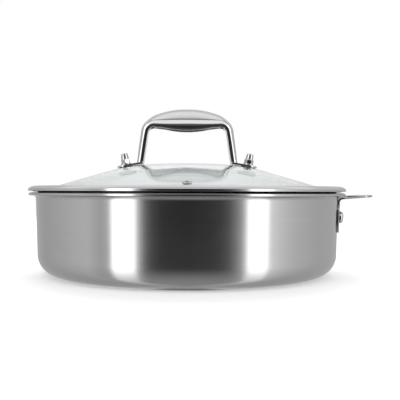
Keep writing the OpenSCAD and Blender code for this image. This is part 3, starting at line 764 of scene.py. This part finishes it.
def grip_section(out, inn, half_w, ridge, edge):
    """The handle's section as points (front, outward), one row for each place along the handle.

    From the crown's middle it falls in a curve to a crease at height ridge, runs down a narrow
    bevel to an edge, then down a slightly bowed face to a rounded corner and a flat belly."""
    out, inn, half_w, ridge, edge = (
        np.asarray(v, float)[:, None] for v in (out, inn, half_w, ridge, edge))
    drop = edge - BELLY_CORNER * (1 - math.sin(FACE_TURN)) + inn
    bulge = BULGE_SHARE * drop
    edge_u = half_w - bulge * FACE_BULGE ** 2
    ridge_u = edge_u - math.tan(BEVEL_TURN) * (ridge - edge)
    t = np.linspace(0, 1, 19)[None]
    shelf = ridge + CREASE_STEP
    crown = [ridge_u * t, shelf + (out - shelf) * (1 - t ** CROWN_POWER)]
    t = np.array([BEVEL_AT])
    bevel = [ridge_u + (edge_u - ridge_u) * t, ridge + (edge - ridge) * t]
    t = np.linspace(FACE_FROM, 1, 9)[None]
    face = [half_w - bulge * (t - FACE_BULGE) ** 2, edge - drop * t]
    a = np.linspace(FACE_TURN, math.pi / 2, 8)[None, 1:]
    middle = half_w - bulge * (1 - FACE_BULGE) ** 2 - BELLY_CORNER * math.cos(FACE_TURN)
    round_off = [middle + BELLY_CORNER * np.cos(a), BELLY_CORNER * (1 - np.sin(a)) - inn]
    t = np.array([BELLY_AT])
    belly = [middle * t, -inn + 0 * t]
    half = [np.concatenate([row + 0 * half_w for row in rows], axis=1)
            for rows in zip(crown, bevel, face, round_off, belly)]
    other = slice(-2, 0, -1)
    return (np.concatenate([half[0], -half[0][:, other]], 1),
            np.concatenate([half[1], half[1][:, other]], 1))


def grip_surface(g, dome, bolt):
    """The lid handle's loop: its section carried up a leg, round the shoulder, along the grip and
    down the other leg. The thickness on both sides of the line changes smoothly along it."""
    tilt = dome.tilt(g.bolt_reach)
    grip_z = dome.top + g.rise
    foot_z = dome.height(g.bolt_reach) + (bolt.gasket_t + g.foot_t / 2) * math.cos(tilt)
    foot_z += (g.bolt_reach - g.leg_reach) * math.sin(tilt)
    shoulder = np.array([g.leg_reach - (grip_z - foot_z) * math.tan(g.leg_lean), grip_z])
    path, lengths, (bend_in, bend_out) = bent_line(
        [[g.leg_reach, foot_z], shoulder, [0, grip_z]], [g.bend_r])
    total = lengths[-1]
    at = np.unique(np.concatenate([
        np.linspace(0, bend_in, 24), np.linspace(bend_in, bend_out, 45),
        np.linspace(bend_out, total, 60)]))
    spots = np.column_stack([np.interp(at, lengths, c) for c in path.T])
    run = np.gradient(path, lengths, axis=0)
    run = units(np.column_stack([np.interp(at, lengths, c) for c in run.T]))
    side = -to_left(run)
    marks = [0, bend_in, bend_out, total]
    widths = [g.leg_w / 2, g.leg_w / 2, g.shoulder_w / 2, g.grip_w / 2]
    u, v = grip_section(*(
        flowing(at, np.interp(places, range(4), marks), values) for places, values in (
            (OUTSIDE_AT, [*g.outside, g.top]), (INSIDE_AT, [*g.inside, g.belly]),
            (range(4), widths), (range(4), g.crease), (range(4), g.edge))))
    right = np.stack([
        spots[:, :1] + v * side[:, :1], u, spots[:, 1:] + v * side[:, 1:]], -1)
    left = (right * [-1, 1, 1])[:-1][::-1]
    rows = np.concatenate([right, left])
    return capped(rows.reshape(-1, 3), len(rows), u.shape[1],
                  (g.leg_reach, 0, foot_z), (-g.leg_reach, 0, foot_z))


def foot_surface(g, bolt, tilt):
    """A foot of the lid handle: a flat plate with one round end, its edges slightly eased."""
    r, low, high = g.foot_w / 2, bolt.gasket_t, bolt.gasket_t + g.foot_t
    inner = (g.bolt_reach - g.leg_reach) / math.cos(tilt) + g.foot_back
    a = np.linspace(0, np.pi / 2, 5)
    inset = FOOT_EASE * np.concatenate([1 - np.sin(a), 1 - np.cos(a)])
    heights = np.concatenate([
        low + FOOT_EASE * (1 - np.cos(a)), high - FOOT_EASE * (1 - np.sin(a))])
    rows = []
    for shrink, z in zip(inset, heights):
        plan = np.vstack([
            arc([0, 0], r - shrink, -90, 90, 49),
            arc([FOOT_CORNER - inner, r - FOOT_CORNER], FOOT_CORNER - shrink, 90, 180, 7),
            arc([FOOT_CORNER - inner, FOOT_CORNER - r], FOOT_CORNER - shrink, 180, 270, 7)])
        rows.append(np.column_stack([plan, np.full(len(plan), z)]))
    middle = -inner / 2
    return capped(np.vstack(rows), len(rows), len(rows[0]), (middle, 0, low), (middle, 0, high))


def nut_surface(b, base):
    """An acorn nut: rings whose radius is the least, softly, of a hexagon and a turned outline.
    The hexagon is half its flats over the p-norm of the cosines of the six flats' angles."""
    flat_r, corner_r, dome_r = b.flats / 2, b.flats / math.sqrt(3), b.dome_d / 2
    tip_r, chamfer, rounding = b.tip_d / 2, b.nut_chamfer, b.nut_rounding
    side = softened([
        [0, 0], [flat_r, 0], [corner_r, chamfer], [corner_r, b.hex_h - chamfer],
        [dome_r, b.hex_h], [tip_r, b.nut_h - rounding]], NUT_EASE, closed=False)
    top = arc([0, 0], 1, 0, 90, 16) ** NUT_TOP_POWER * [tip_r, rounding]
    path = filled(np.vstack([side, top[1:] + [0, b.nut_h - rounding]]), NUT_STEP)
    path[-1, 0] = 0
    rows = path[1:-1]
    a = turns(FINE_ROUND)
    flats = np.maximum(np.cos(a[:, None] - np.radians(np.arange(6) * 60 + 30)), 0)
    hexagon = flat_r / (flats ** HEX_POWER).sum(1) ** (1 / HEX_POWER)
    r = (rows[:, :1] ** -NUT_POWER + hexagon[None] ** -NUT_POWER) ** (-1 / NUT_POWER)
    return capped(spun(r, rows[:, 1:] + base, a), len(rows), len(a),
                  (0, 0, base), (0, 0, b.nut_h + base))


def screw_surface(b, head_z, top_z):
    """A screw: a turned shank and pan head, with a cross pressed into the head's face."""
    r, head_r = b.screw_d / 2, b.head_d / 2
    foot = head_z - b.head_h
    path = filled(np.vstack([
        [0, foot], softened([
            [0, foot], [head_r, foot], [head_r, head_z], [r, head_z], [r, top_z], [0, top_z]],
            b.head_h / 3, closed=False)[1:-1], [0, top_z]]), SCREW_STEP)
    points, quads, tris = turned(path, FINE_ROUND)
    x, y, z = points.T
    inside = np.minimum(
        np.clip((b.cross_l - np.maximum(np.abs(x), np.abs(y))) / b.cross_w + 1, 0, 1),
        np.clip((b.cross_w - np.minimum(np.abs(x), np.abs(y))) / b.cross_w * 3, 0, 1))
    points[:, 2] = np.where(z < foot + TINY, z + b.head_h / 2 * inside, z)
    return points, quads, tris


# ----------------------------------------------------------------- materials


class Socket:
    """An output of a shader node. Arithmetic on it adds Math nodes."""

    def __init__(self, board, socket):
        self.board, self.socket = board, socket

    def math(self, operation, *values):
        return self.board.add("Math", {"operation": operation}, dict(enumerate(values)))["Value"]

    def __add__(self, other):
        return self.math("ADD", self, other)

    def __sub__(self, other):
        return self.math("SUBTRACT", self, other)

    def __rsub__(self, other):
        return self.math("SUBTRACT", other, self)

    def __mul__(self, other):
        return self.math("MULTIPLY", self, other)

    __radd__, __rmul__ = __add__, __mul__


class Outputs:
    """A shader node's outputs, by name or number."""

    def __init__(self, board, node):
        self.board, self.node = board, node

    def __getitem__(self, key):
        return Socket(self.board, self.node.outputs[key])


class Board:
    """The node tree of a material or a world."""

    def __init__(self, owner):
        owner.use_nodes = True
        self.owner, self.tree = owner, owner.node_tree
        self.tree.nodes.clear()

    def add(self, kind, settings=None, inputs=None):
        """A node of a kind, with its settings made first and then its sockets' values or links."""
        node = self.tree.nodes.new("ShaderNode" + kind)
        for key, value in (settings or {}).items():
            if key == "stops":
                self.stops(node.color_ramp.elements, value)
            else:
                setattr(node, key, value)
        for key, value in (inputs or {}).items():
            if isinstance(value, Socket):
                self.tree.links.new(value.socket, node.inputs[key])
            else:
                node.inputs[key].default_value = value
        return Outputs(self, node)

    @staticmethod
    def stops(elements, stops):
        """Fills a colour ramp with (place, level) stops."""
        while len(elements) < len(stops):
            elements.new(1.0)
        for element, (place, level) in zip(elements, stops):
            element.position = place
            element.color = (level, level, level, 1)

    def split(self, vector):
        """The three numbers of a vector."""
        parts = self.add("SeparateXYZ", None, {"Vector": vector})
        return parts["X"], parts["Y"], parts["Z"]

    def join(self, x, y, z):
        """A vector of three numbers."""
        return self.add("CombineXYZ", None, {"X": x, "Y": y, "Z": z})["Vector"]

    def across(self, x, y):
        """The distance of (x, y) from the upright axis."""
        flat = {0: self.join(x, y, 0.0)}
        return self.add("VectorMath", {"operation": "LENGTH"}, flat)["Value"]

    def noise(self, vector, scale, detail):
        """Noise from 0 to 1 at a place."""
        return self.add(
            "TexNoise", None, {"Vector": vector, "Scale": scale, "Detail": detail})["Fac"]

    @staticmethod
    def colour(value):
        """A link as it is, and a colour or a grey level as a colour socket's four numbers."""
        if isinstance(value, Socket):
            return value
        return (value, value, value, 1) if isinstance(value, float) else (*value, 1)

    def blend(self, factor, first, second):
        """The blend of two colours."""
        return self.add("Mix", {"data_type": "RGBA"}, {
            0: factor, 6: self.colour(first), 7: self.colour(second)})[2]

    def bump(self, strength, distance, height):
        """A normal bent by a height."""
        return self.add("Bump", None, {
            "Strength": strength, "Distance": distance, "Height": height})["Normal"]

    def surface(self, **inputs):
        """A Principled shader. A space in a socket's name is written as _ here."""
        named = {key.replace("_", " "): value for key, value in inputs.items()}
        return self.add("BsdfPrincipled", None, named)["BSDF"]

    def either(self, factor, first, second):
        """The mix of two shaders."""
        return self.add("MixShader", None, {0: factor, 1: first, 2: second})["Shader"]

    def between(self, value, low, high, first=0.0, last=1.0):
        """A smooth step from first to last as value goes from low to high."""
        return self.add("MapRange", {"interpolation_type": "SMOOTHSTEP"}, {
            "Value": value, "From Min": low, "From Max": high,
            "To Min": first, "To Max": last})["Result"]

    def finish(self, shader, kind="Material"):
        """Joins a shader to the tree's output and returns the material or world."""
        self.add("Output" + kind, None, {"Surface": shader})
        return self.owner


def material_board(name):
    """A new material's board and the place on the piece."""
    board = Board(bpy.data.materials.new(name))
    return board, board.add("TexCoord")["Object"]


def steel(name, tone, roughness, grain, lines=0.0, brush=0.0, mottle=0.08, relief=0.15,
          satin_z=None):
    """Steel. Grain is the number of fine marks in a metre, and lines how strongly they show as
    turning or brushing marks, which run level round the piece. Brush stretches its reflections
    across them, mottle is the slow change of its gloss, and relief the strength of the marks'
    bumps. Above the height satin_z it is satin."""
    board, place = material_board(name)
    x, y, z = board.split(place)
    slow = board.noise(place, scale=CLOUDS, detail=2.0) - 0.5
    if lines:
        over = board.join(
            x * ROUND_MARKS, y * ROUND_MARKS, (z + board.across(x, y)) * grain)
        fine = board.noise(over, scale=1.0, detail=5.0)
    else:
        fine = board.noise(place, scale=grain, detail=3.0)
    marks = fine - 0.5
    change = PLAIN_CHANGE + LINED_CHANGE * lines
    dark, light = ([min(c * (1 + k), 1) for c in tone] for k in (-change, change))
    gloss = marks * (PLAIN_GLOSS + LINED_GLOSS * lines) + slow * mottle + roughness
    if satin_z:
        gloss = gloss + board.between(z, satin_z - SATIN_BLEND, satin_z + SATIN_BLEND) * SATIN
    return board.finish(board.surface(
        Base_Color=board.blend(marks * FINE_TONE + slow * SLOW_TONE + 0.5, dark, light),
        Metallic=1.0, Roughness=gloss, Normal=board.bump(relief, MARK_DEPTH, fine),
        Anisotropic=brush, Anisotropic_Rotation=LEVEL_BRUSH))


def clear_glass(name, tone):
    """Tempered glass with a faint colour, which lets the light of lamps through."""
    board, place = material_board(name)
    smear = board.noise(place, scale=30.0, detail=4.0)
    solid = board.surface(
        Base_Color=(*tone, 1), Roughness=board.between(smear, 0.45, 0.8, first=0.0, last=0.02),
        IOR=1.5, Transmission_Weight=1.0,
        Normal=board.bump(strength=0.05, distance=0.0001, height=smear))
    gone = board.add("BsdfTransparent", None, {"Color": (*tone, 1)})["BSDF"]
    return board.finish(board.either(board.add("LightPath")["Is Shadow Ray"], solid, gone))


def rubber(name, tone):
    """Milky silicone: part of the light goes through it, and it is faintly cloudy."""
    board, place = material_board(name)
    cloud = board.noise(place, scale=260.0, detail=4.0)
    pits = board.noise(place, scale=1800.0, detail=2.0)
    return board.finish(board.surface(
        Base_Color=board.blend(cloud, [c * 0.9 for c in tone], tone), IOR=1.42,
        Transmission_Weight=0.55,
        Roughness=board.between(cloud, 0.2, 0.8, first=0.3, last=0.42),
        Normal=board.bump(strength=0.2, distance=0.00005, height=pits)))


def finish_of(name):
    """The material of that name, made the first time it is asked for."""
    made = bpy.data.materials.get(name)
    if made is not None:
        return made
    s, _, dome = all_sizes(bpy.context)
    f = s.finish
    satin_z = dome.top + s.grip.rise + s.grip.satin_rise
    maker, *plain, named = {
        # the tone, roughness and grain, and then what differs from plain steel
        "Brushed pan steel": (steel, f.steel, 0.165, 2600.0, dict(lines=0.12, brush=f.brush)),
        "Cooking face steel": (
            steel, f.steel, 0.3, 1400.0, dict(lines=0.6, brush=f.brush, mottle=0.12)),
        "Rolled aluminium": (
            steel, f.aluminium, 0.35, 1500.0, dict(lines=0.3, brush=0.4, mottle=0.12)),
        # The strip's darker tint is painted shade, standing in for the dark reflections on its
        # edges.
        "Satin strip steel": (steel, f.strip, 0.1, 1200.0, {}),
        "Polished rim steel": (steel, f.bright, 0.13, 2200.0, dict(lines=0.12, brush=0.3)),
        "Polished grip steel": (steel, f.bright, 0.13, 900.0, dict(satin_z=satin_z)),
        "Bright nut steel": (steel, f.bright, 0.09, 1500.0, dict(mottle=0.04, relief=0.05)),
        "Turned washer steel": (steel, f.bright, 0.18, 3000.0, dict(lines=0.2, brush=0.2)),
        "Dull vent steel": (steel, f.dull, 0.38, 2000.0, dict(lines=0.1, mottle=0.12)),
        "Plain screw steel": (steel, f.steel, 0.24, 3000.0, dict(lines=0.1, brush=0.1)),
        "Clear tempered glass": (clear_glass, f.glass, {}),
        "Milky silicone": (rubber, f.silicone, {}),
    }[name]
    return maker(name, *plain, **named)


# ----------------------------------------------------------------- operators


def all_sizes(context):
    """The add-on's settings and the lines worked out from them."""
    s = context.scene.saute_pan
    return s, pan_lines(s.pan), dome_lines(s.glass, s.rim, s.pan)


class SAUTE_OT_pan_body(bpy.types.Operator):
    """Builds the three plies of the pan"""
    bl_idname = "saute.pan_body"
    bl_label = "Pan body"

    def execute(self, context):
        s, lines, _ = all_sizes(context)
        p, skin = s.pan, lines.skin
        across = lines.wall_t / 2 * along(math.radians(lines.lip_end))
        ends = [lines.tip - across, lines.tip + across]
        corners = [[lines.tip_r, lines.tip[1] - lines.wall_t / 3],
                   [lines.tip_r, lines.tip[1] + lines.wall_t / 3]]
        tip = softened([ends[0], *corners, ends[1]], LIP_EASE, closed=False)
        inner = p.outer_t + p.core_t
        sections = {
            "outer_ply": (np.vstack([skin(0), tip, skin(p.outer_t)[::-1]]),
                          "Brushed pan steel", "pan_steel", "pan_outer_ply"),
            "core_ply": (np.vstack([skin(p.outer_t), skin(inner)[::-1]]),
                         "Rolled aluminium", "pan_core", "pan_core_ply"),
            "cooking_ply": (np.vstack([skin(inner), skin(lines.wall_t)[::-1]]),
                            "Cooking face steel", "cooking_steel", "pan_inner_ply"),
        }
        for name, (section, finish, slot, node) in sections.items():
            keep = np.concatenate([[True], np.linalg.norm(np.diff(section, axis=0), axis=1) > TINY])
            show(name, turned(section[keep]), finish, "pan", slot, node)
        return {"FINISHED"}


class SAUTE_OT_helper_handle(bpy.types.Operator):
    """Builds the helper handle and its two rivets"""
    bl_idname = "saute.helper_handle"
    bl_label = "Helper handle"

    def execute(self, context):
        s, lines, _ = all_sizes(context)
        h = s.helper
        show("helper_loop", helper_surface(h, lines, s.pan), "Satin strip steel", "pan",
             "helper_steel", "helper_handle")
        seat_r = lines.wall_r(h.rivet_z)
        turn = math.asin(h.rivet_gap / 2 / seat_r)
        head_r, dome = h.rivet_head_d / 2, h.rivet_head_h
        t = np.linspace(math.pi / 2, 0, 40)[:, None]
        cap = [0, h.strip_t] + [head_r, dome] * np.hstack([np.cos(t), np.sin(t)]) ** HEAD_POWER
        tail = -lines.wall_t - h.rivet_tail_h
        under = softened([
            cap[-2], cap[-1] - [0, h.rivet_ease / 4], [head_r * HEAD_FOOT, h.strip_t],
            [h.rivet_d / 2, h.strip_t], [h.rivet_d / 2, -lines.wall_t],
            [head_r, -lines.wall_t], [head_r, tail], [0, tail]], h.rivet_ease, closed=False)
        section = filled(np.vstack([cap[:-2], under]), RIVET_STEP)
        section[0, 0] = section[-1, 0] = 0
        for name, side, node in (("rivet_front", -1, "helper_rivet_front"),
                                 ("rivet_rear", 1, "helper_rivet_rear")):
            about = about_z(side * turn)
            surface = placed(
                turned(section, SMALL_ROUND), about @ about_y(math.pi / 2 + s.pan.wall_lean),
                about @ np.array([seat_r, 0, h.rivet_z]))
            show(name, surface, "Bright nut steel", "pan", "rivet_steel", node)
        return {"FINISHED"}


class SAUTE_OT_lid_rim(bpy.types.Operator):
    """Builds the folded rim band of the lid"""
    bl_idname = "saute.lid_rim"
    bl_label = "Lid rim"

    def execute(self, context):
        s, lines, dome = all_sizes(context)
        r = s.rim
        end = 90 - math.degrees(r.bevel_turn)
        bevel = np.array([lines.mouth_r + r.nose_reach - r.nose_r, dome.brim_top + r.band_t])
        bevel -= [(r.bevel_r - r.nose_r) * math.cos(math.radians(end)), r.bevel_r]
        nose = bevel + (r.bevel_r - r.nose_r) * along(math.radians(end))
        start = np.array([dome.glass_r + s.bolt.glass_clear, dome.band_z])
        to_nose = nose - start
        slope = math.degrees(math.atan2(to_nose[1], to_nose[0])
                             - math.asin(r.nose_r / np.linalg.norm(to_nose)))
        seat = lines.lip_centre + (lines.top_r + r.seat_clear) * along(math.pi - r.seat_angle)
        skirt_r = seat[0] + r.seat_run
        skirt_z = seat[1] + r.seat_run / math.tan(r.seat_angle)
        foot = dome.band_z - r.skirt_depth
        foot_r = seat[0] - (seat[1] - foot) * math.tan(r.seat_angle)
        fold = r.skirt_fold_r
        nose_r = nose[0] + r.nose_r
        ends = [(nose + r.nose_r * along(turn), turn - math.pi / 2)
                for turn in (math.radians(end), math.radians(slope - 90))]
        corners = [spot + along(turn) * (nose_r - spot[0]) / math.cos(turn) for spot, turn in ends]
        corners[1][1] -= r.nose_drop

        def outline(nose_lines):
            """The band's line from its inner edge round the nose and down the skirt."""
            return np.vstack([
                [dome.glass_r - r.band_grip, dome.brim_top + r.band_t],
                arc(bevel, r.bevel_r, 90, end, 20), nose_lines, start,
                arc([skirt_r + fold, dome.band_z - fold], fold, 90, 180, 8),
                [skirt_r, skirt_z], [foot_r, foot]])

        face = outline(softened(
            [ends[0][0], *corners, ends[1][0]], NOSE_EASE, closed=False)[1:])
        # The inner line's turn starts a step on, because the bevel's arc ends at its first point.
        nose_arc = arc(nose, r.nose_r, end - NOSE_STEP, slope - 90, 20)
        back = beside(outline(nose_arc), -r.band_t)
        half = r.band_t / 2

        def hem(first, second):
            """A half circle that closes the sheet's cut edge, inside its square corners."""
            across = (second - first) / 2
            on = np.array([across[1], -across[0]])
            a = np.linspace(0, np.pi, 9)[:, None]
            return (first + second) / 2 - across * np.cos(a) + on * np.sin(a) - on

        top, bottom = hem(back[0], face[0]), hem(face[-1], back[-1])
        face[0, 0] += half
        back[0, 0] += half
        section = np.vstack([top, face[1:-1], bottom, back[1:-1][::-1]])
        section = filled(np.vstack([section, section[:1]]), RIM_STEP)[:-1]
        show("rim_band", turned(section), "Polished rim steel", "lid", "rim_steel",
             "lid_rim_band")
        return {"FINISHED"}


class SAUTE_OT_lid_glass(bpy.types.Operator):
    """Builds the domed glass and cuts its three holes"""
    bl_idname = "saute.lid_glass"
    bl_label = "Domed glass"

    def execute(self, context):
        s, _, dome = all_sizes(context)
        g, edge = s.glass, s.glass.edge_r
        section = filled(np.vstack([
            dome.skin(0),
            arc([dome.glass_r - edge, dome.brim_top - edge], edge, 90, 0, 8),
            arc([dome.glass_r - edge, dome.brim_z + edge], edge, 0, -90, 8),
            dome.skin(g.thickness)[::-1]]))
        section[0, 0] = section[-1, 0] = 0
        deep = 2 * g.thickness
        holes = []
        for reach, turn, d in ((s.grip.bolt_reach, 0, g.bolt_hole_d),
                               (s.grip.bolt_reach, math.pi, g.bolt_hole_d),
                               (s.vent.reach, -math.pi / 2, g.vent_hole_d)):
            holes.append(on_dome(rod(d / 2, -deep, deep), dome, reach, turn))
        mesh = carved("domed_glass", turned(section), cut=holes)
        show("domed_glass", mesh, "Clear tempered glass", "lid", "lid_glass", "lid_glass")
        return {"FINISHED"}


class SAUTE_OT_vent(bpy.types.Operator):
    """Builds the steam vent's eyelet and the ferrule under the glass"""
    bl_idname = "saute.vent"
    bl_label = "Steam vent"

    def execute(self, context):
        s, _, dome = all_sizes(context)
        v, b = s.vent, s.bolt
        hole, tube, flange = v.hole_d / 2, v.tube_d / 2, v.flange_d / 2
        deep = -s.glass.thickness - b.glass_clear
        foot, low, bead = deep - v.flange_h, b.clear / 2, v.flange_h / 2
        eyelet = filled(np.vstack([
            arc([flange - bead, v.flange_h - bead], bead, -60, 90, 12),
            arc([hole + bead, v.flange_h - bead], bead, 90, 180, 8),
            [hole, foot + bead / 2], [hole + bead / 2, foot], [tube, foot], [tube, low],
            [flange - bead, low]]), VENT_STEP)
        ferrule = ring_section(tube + b.clear, flange, foot, deep, RING_EASE)
        for name, section, node in (("eyelet", eyelet, "vent_eyelet"),
                                    ("ferrule", ferrule, "vent_ferrule")):
            surface = on_dome(turned(section, SMALL_ROUND), dome, v.reach, -math.pi / 2)
            show(name, surface, "Dull vent steel", "lid", "vent_steel", node)
        return {"FINISHED"}


class SAUTE_OT_lid_grip(bpy.types.Operator):
    """Builds the tall loop handle of the lid"""
    bl_idname = "saute.lid_grip"
    bl_label = "Lid handle"

    def execute(self, context):
        s, _, dome = all_sizes(context)
        g, r = s.grip, s.bolt.screw_d / 2 + s.bolt.clear
        foot = foot_surface(g, s.bolt, dome.tilt(g.bolt_reach))
        hole = rod(r, -g.foot_t, 3 * g.foot_t)
        feet, holes = ([on_dome(surface, dome, g.bolt_reach, turn) for turn in (0, math.pi)]
                       for surface in (foot, hole))
        mesh = carved("loop_grip", grip_surface(g, dome, s.bolt), feet, holes)
        show("loop_grip", mesh, "Polished grip steel", "lid", "grip_steel", "lid_handle")
        return {"FINISHED"}


class SAUTE_OT_bolts(bpy.types.Operator):
    """Builds the screw, nut, washers, gasket and cup of both bolts"""
    bl_idname = "saute.bolts"
    bl_label = "Bolts"

    def execute(self, context):
        s, _, dome = all_sizes(context)
        b, g = s.bolt, s.grip
        shank = b.screw_d / 2 + b.clear
        washer_z = b.gasket_t + g.foot_t
        nut_z = washer_z + b.washer_t
        cup_top = -s.glass.thickness - b.glass_clear
        cup_foot = cup_top - b.cup_h
        recess = cup_foot + b.head_gap + b.head_h + b.inner_t
        head_z = recess - b.inner_t
        cup_r, edge, pit = b.cup_d / 2, b.cup_edge_r, b.inner_d / 2 + b.pit_clear
        sleeve, sleeve_z = s.glass.bolt_hole_d / 2 - b.clear, -s.glass.thickness + 2 * b.glass_clear
        cup = np.vstack([
            arc([cup_r - edge, cup_foot + edge], edge, -90, 0, 10),
            softened([[cup_r, cup_top - b.cup_chamfer], [cup_r, cup_top], [shank, cup_top],
                      [shank, recess], [pit, recess], [pit, cup_foot],
                      [pit + b.cup_chamfer, cup_foot]], WASHER_EASE, closed=False)])
        washer = ring_section(shank, b.washer_d / 2, washer_z, nut_z, WASHER_EASE)
        gasket = softened([
            [shank, sleeve_z], [sleeve, sleeve_z], [sleeve, 0], [b.gasket_d / 2, 0],
            [b.gasket_d / 2, b.gasket_t], [shank, b.gasket_t]], RING_EASE)
        cup_washer = ring_section(shank, b.inner_d / 2, head_z, recess, NUT_EASE)
        rings = (("washer", washer, "Turned washer steel", "washer_steel", "nut_washer"),
                 ("gasket", gasket, "Milky silicone", "silicone", "outer_gasket"),
                 ("cup", cup, "Milky silicone", "silicone", "inner_gasket"),
                 ("cup_washer", cup_washer, "Turned washer steel", "washer_steel",
                  "inner_washer"))
        parts = [(kind, turned(section, SMALL_ROUND), *rest) for kind, section, *rest in rings]
        parts.append(("nut", nut_surface(b, nut_z), "Bright nut steel", "nut_steel",
                      "acorn_nut"))
        parts.append(("screw", screw_surface(b, head_z, nut_z + b.thread_in),
                      "Plain screw steel", "screw_steel", "lid_screw"))
        for side, turn, nut_turn in (("left", math.pi, b.nut_turn), ("right", 0.0, 0.0)):
            for kind, surface, finish, slot, node in parts:
                if kind == "nut":
                    surface = placed(surface, about_z(nut_turn))
                show(f"{kind}_{side}", on_dome(surface, dome, g.bolt_reach, turn), finish,
                     "lid", slot, f"{node}_{side}")
        return {"FINISHED"}


def by_degrees(board, turn, stops):
    """The level at a turn, given as a share of a full turn, from stops in degrees about 0."""
    places = [(0.5 + degrees / 360, level / RAMP_TOP) for degrees, level in stops]
    return board.add("ValToRGB", {"stops": places}, {"Fac": turn})["Color"]


class SAUTE_OT_stage(bpy.types.Operator):
    """Builds the camera, the pale floor and the studio's light"""
    bl_idname = "saute.stage"
    bl_label = "Stage"

    def execute(self, context):
        scene = context.scene
        st = scene.saute_pan.stage
        optics = bpy.data.cameras.new("camera")
        optics.lens, optics.sensor_width, optics.shift_x = st.lens, st.sensor, st.camera_shift
        optics.clip_start, optics.clip_end = NEAREST, FARTHEST
        scene.camera = put("camera", optics)
        scene.camera.location = (0, -st.camera_reach, st.camera_height)
        scene.camera.rotation_euler = (math.pi / 2 - st.camera_pitch, -st.camera_roll, 0)
        # A soft lamp behind the object, which metal and glass don't mirror.
        lamp = bpy.data.lights.new("back_light", "SUN")
        lamp.energy, lamp.angle = st.back_light, st.back_spread
        light = put("back_light", lamp)
        light.rotation_euler.x = st.back_rise - math.pi / 2
        light.visible_glossy = light.visible_transmission = False
        self.lay_floor(st)
        scene.world = self.light_studio(bpy.data.worlds.new("Studio"), st)
        scene.view_settings.view_transform = "Standard"
        return {"FINISHED"}

    @staticmethod
    def lay_floor(st):
        """A round floor, white to the camera but for the object's shadow. Reflections pass it
        and show the studio."""
        floor = put("floor", smooth_mesh("floor", rod(st.floor_r, -FLOOR_T, 0)))
        floor.location.z = -FLOOR_GAP
        board = Board(bpy.data.materials.new("Pale floor"))
        path = board.add("LightPath")
        seen = path["Is Camera Ray"] + path["Is Transmission Ray"]
        matte = board.add("BsdfDiffuse", None, {"Color": (*st.floor_tint, 1)})["BSDF"]
        glow = board.add("Emission", None, {"Strength": seen * st.floor_glow})["Emission"]
        shown = board.add("AddShader", None, {0: matte, 1: glow})["Shader"]
        gone = board.add("BsdfTransparent")["BSDF"]
        floor.data.materials.append(
            board.finish(board.either(path["Is Glossy Ray"], shown, gone)))

    @staticmethod
    def light_studio(world, st):
        """White behind the object. In reflections and as light it is a studio: dark in front,
        with a tall soft panel on each side and a pale roof that is brightest low in front.

        Directions are (x, y, z) of length 1. Round the sides the turn from the front is twice
        atan2(x, reach - y), where reach is the direction's level length, or 1 low in front,
        where the panels then lean apart as they do in the wall's rounded foot."""
        board = Board(world)

        def fading(value, span):
            """A smooth fall from 1 to 0 over a span of the value."""
            return board.between(value, *span, first=1.0, last=0.0)

        x, y, z = board.split(board.add("TexCoord")["Generated"])
        level = board.across(x, y)
        low_front = fading(y, FRONT_Y) * fading(z, FRONT_Z)
        reach = level + (1.0 - level) * low_front
        around = x.math("ARCTAN2", x, reach - y) * (1 / math.pi) + 0.5
        over = z.math("ARCTAN2", z, y * -1.0) * (1 / math.tau) + 0.5
        light = board.blend(board.between(z, ROOF_FROM, ROOF_TO),
                            by_degrees(board, around, SIDE_STOPS),
                            by_degrees(board, over, ROOF_STOPS))
        light = board.blend(board.between(z, *HAZE_Z) * HAZE, light, 1.0)
        behind = board.between(y, *BEHIND_Y) * fading(z, BEHIND_Z)
        behind = behind * fading(x.math("ABSOLUTE", x), BEHIND_X)
        light = board.blend(behind, light, BEHIND / RAMP_TOP)
        down = z.math("MAXIMUM", z * -1.0, 0.0)
        ground = down.math("POWER", down, GROUND_POWER) * GROUND_SHARE
        light = board.blend(ground, light, GROUND / RAMP_TOP)
        studio = board.add("Background", None, {
            "Color": light, "Strength": RAMP_TOP * st.studio})["Background"]
        white = board.add("Background", None, {"Color": (1, 1, 1, 1), "Strength": 1.0})[
            "Background"]
        path = board.add("LightPath")
        seen = path["Is Camera Ray"].math(
            "MAXIMUM", path["Is Camera Ray"], path["Is Transmission Ray"])
        return board.finish(board.either(seen, studio, white), "World")


class SAUTE_PT_panel(bpy.types.Panel):
    """Lists the pan's pieces and sizes"""
    bl_idname = "SAUTE_PT_panel"
    bl_label = "Saute Pan"
    bl_space_type = "VIEW_3D"
    bl_region_type = "UI"
    bl_category = "Saute Pan"

    def draw(self, context):
        settings = context.scene.saute_pan
        for operator in OPERATORS:
            self.layout.operator(operator.bl_idname)
        for group in settings.bl_rna.properties:
            if group.type == "POINTER" and group.identifier != "rna_type":
                box = self.layout.box()
                box.label(text=group.identifier.capitalize())
                sizes = getattr(settings, group.identifier)
                for item in sizes.bl_rna.properties:
                    if item.identifier not in ("rna_type", "name"):
                        box.prop(sizes, item.identifier)


GROUPS = (PanSizes, HelperSizes, GlassSizes, RimSizes, VentSizes, GripSizes, BoltSizes, Finishes,
          StageSettings, SautePan)
OPERATORS = (SAUTE_OT_pan_body, SAUTE_OT_helper_handle, SAUTE_OT_lid_rim, SAUTE_OT_lid_glass,
             SAUTE_OT_vent, SAUTE_OT_lid_grip, SAUTE_OT_bolts, SAUTE_OT_stage)


def register():
    for cls in (*GROUPS, *OPERATORS, SAUTE_PT_panel):
        bpy.utils.register_class(cls)
    bpy.types.Scene.saute_pan = bpy.props.PointerProperty(type=SautePan)


def unregister():
    del bpy.types.Scene.saute_pan
    for cls in reversed((*GROUPS, *OPERATORS, SAUTE_PT_panel)):
        bpy.utils.unregister_class(cls)


def main():
    register()
    for operator in OPERATORS:
        group, name = operator.bl_idname.split(".")
        getattr(getattr(bpy.ops, group), name)()


if __name__ == "__main__":
    main()
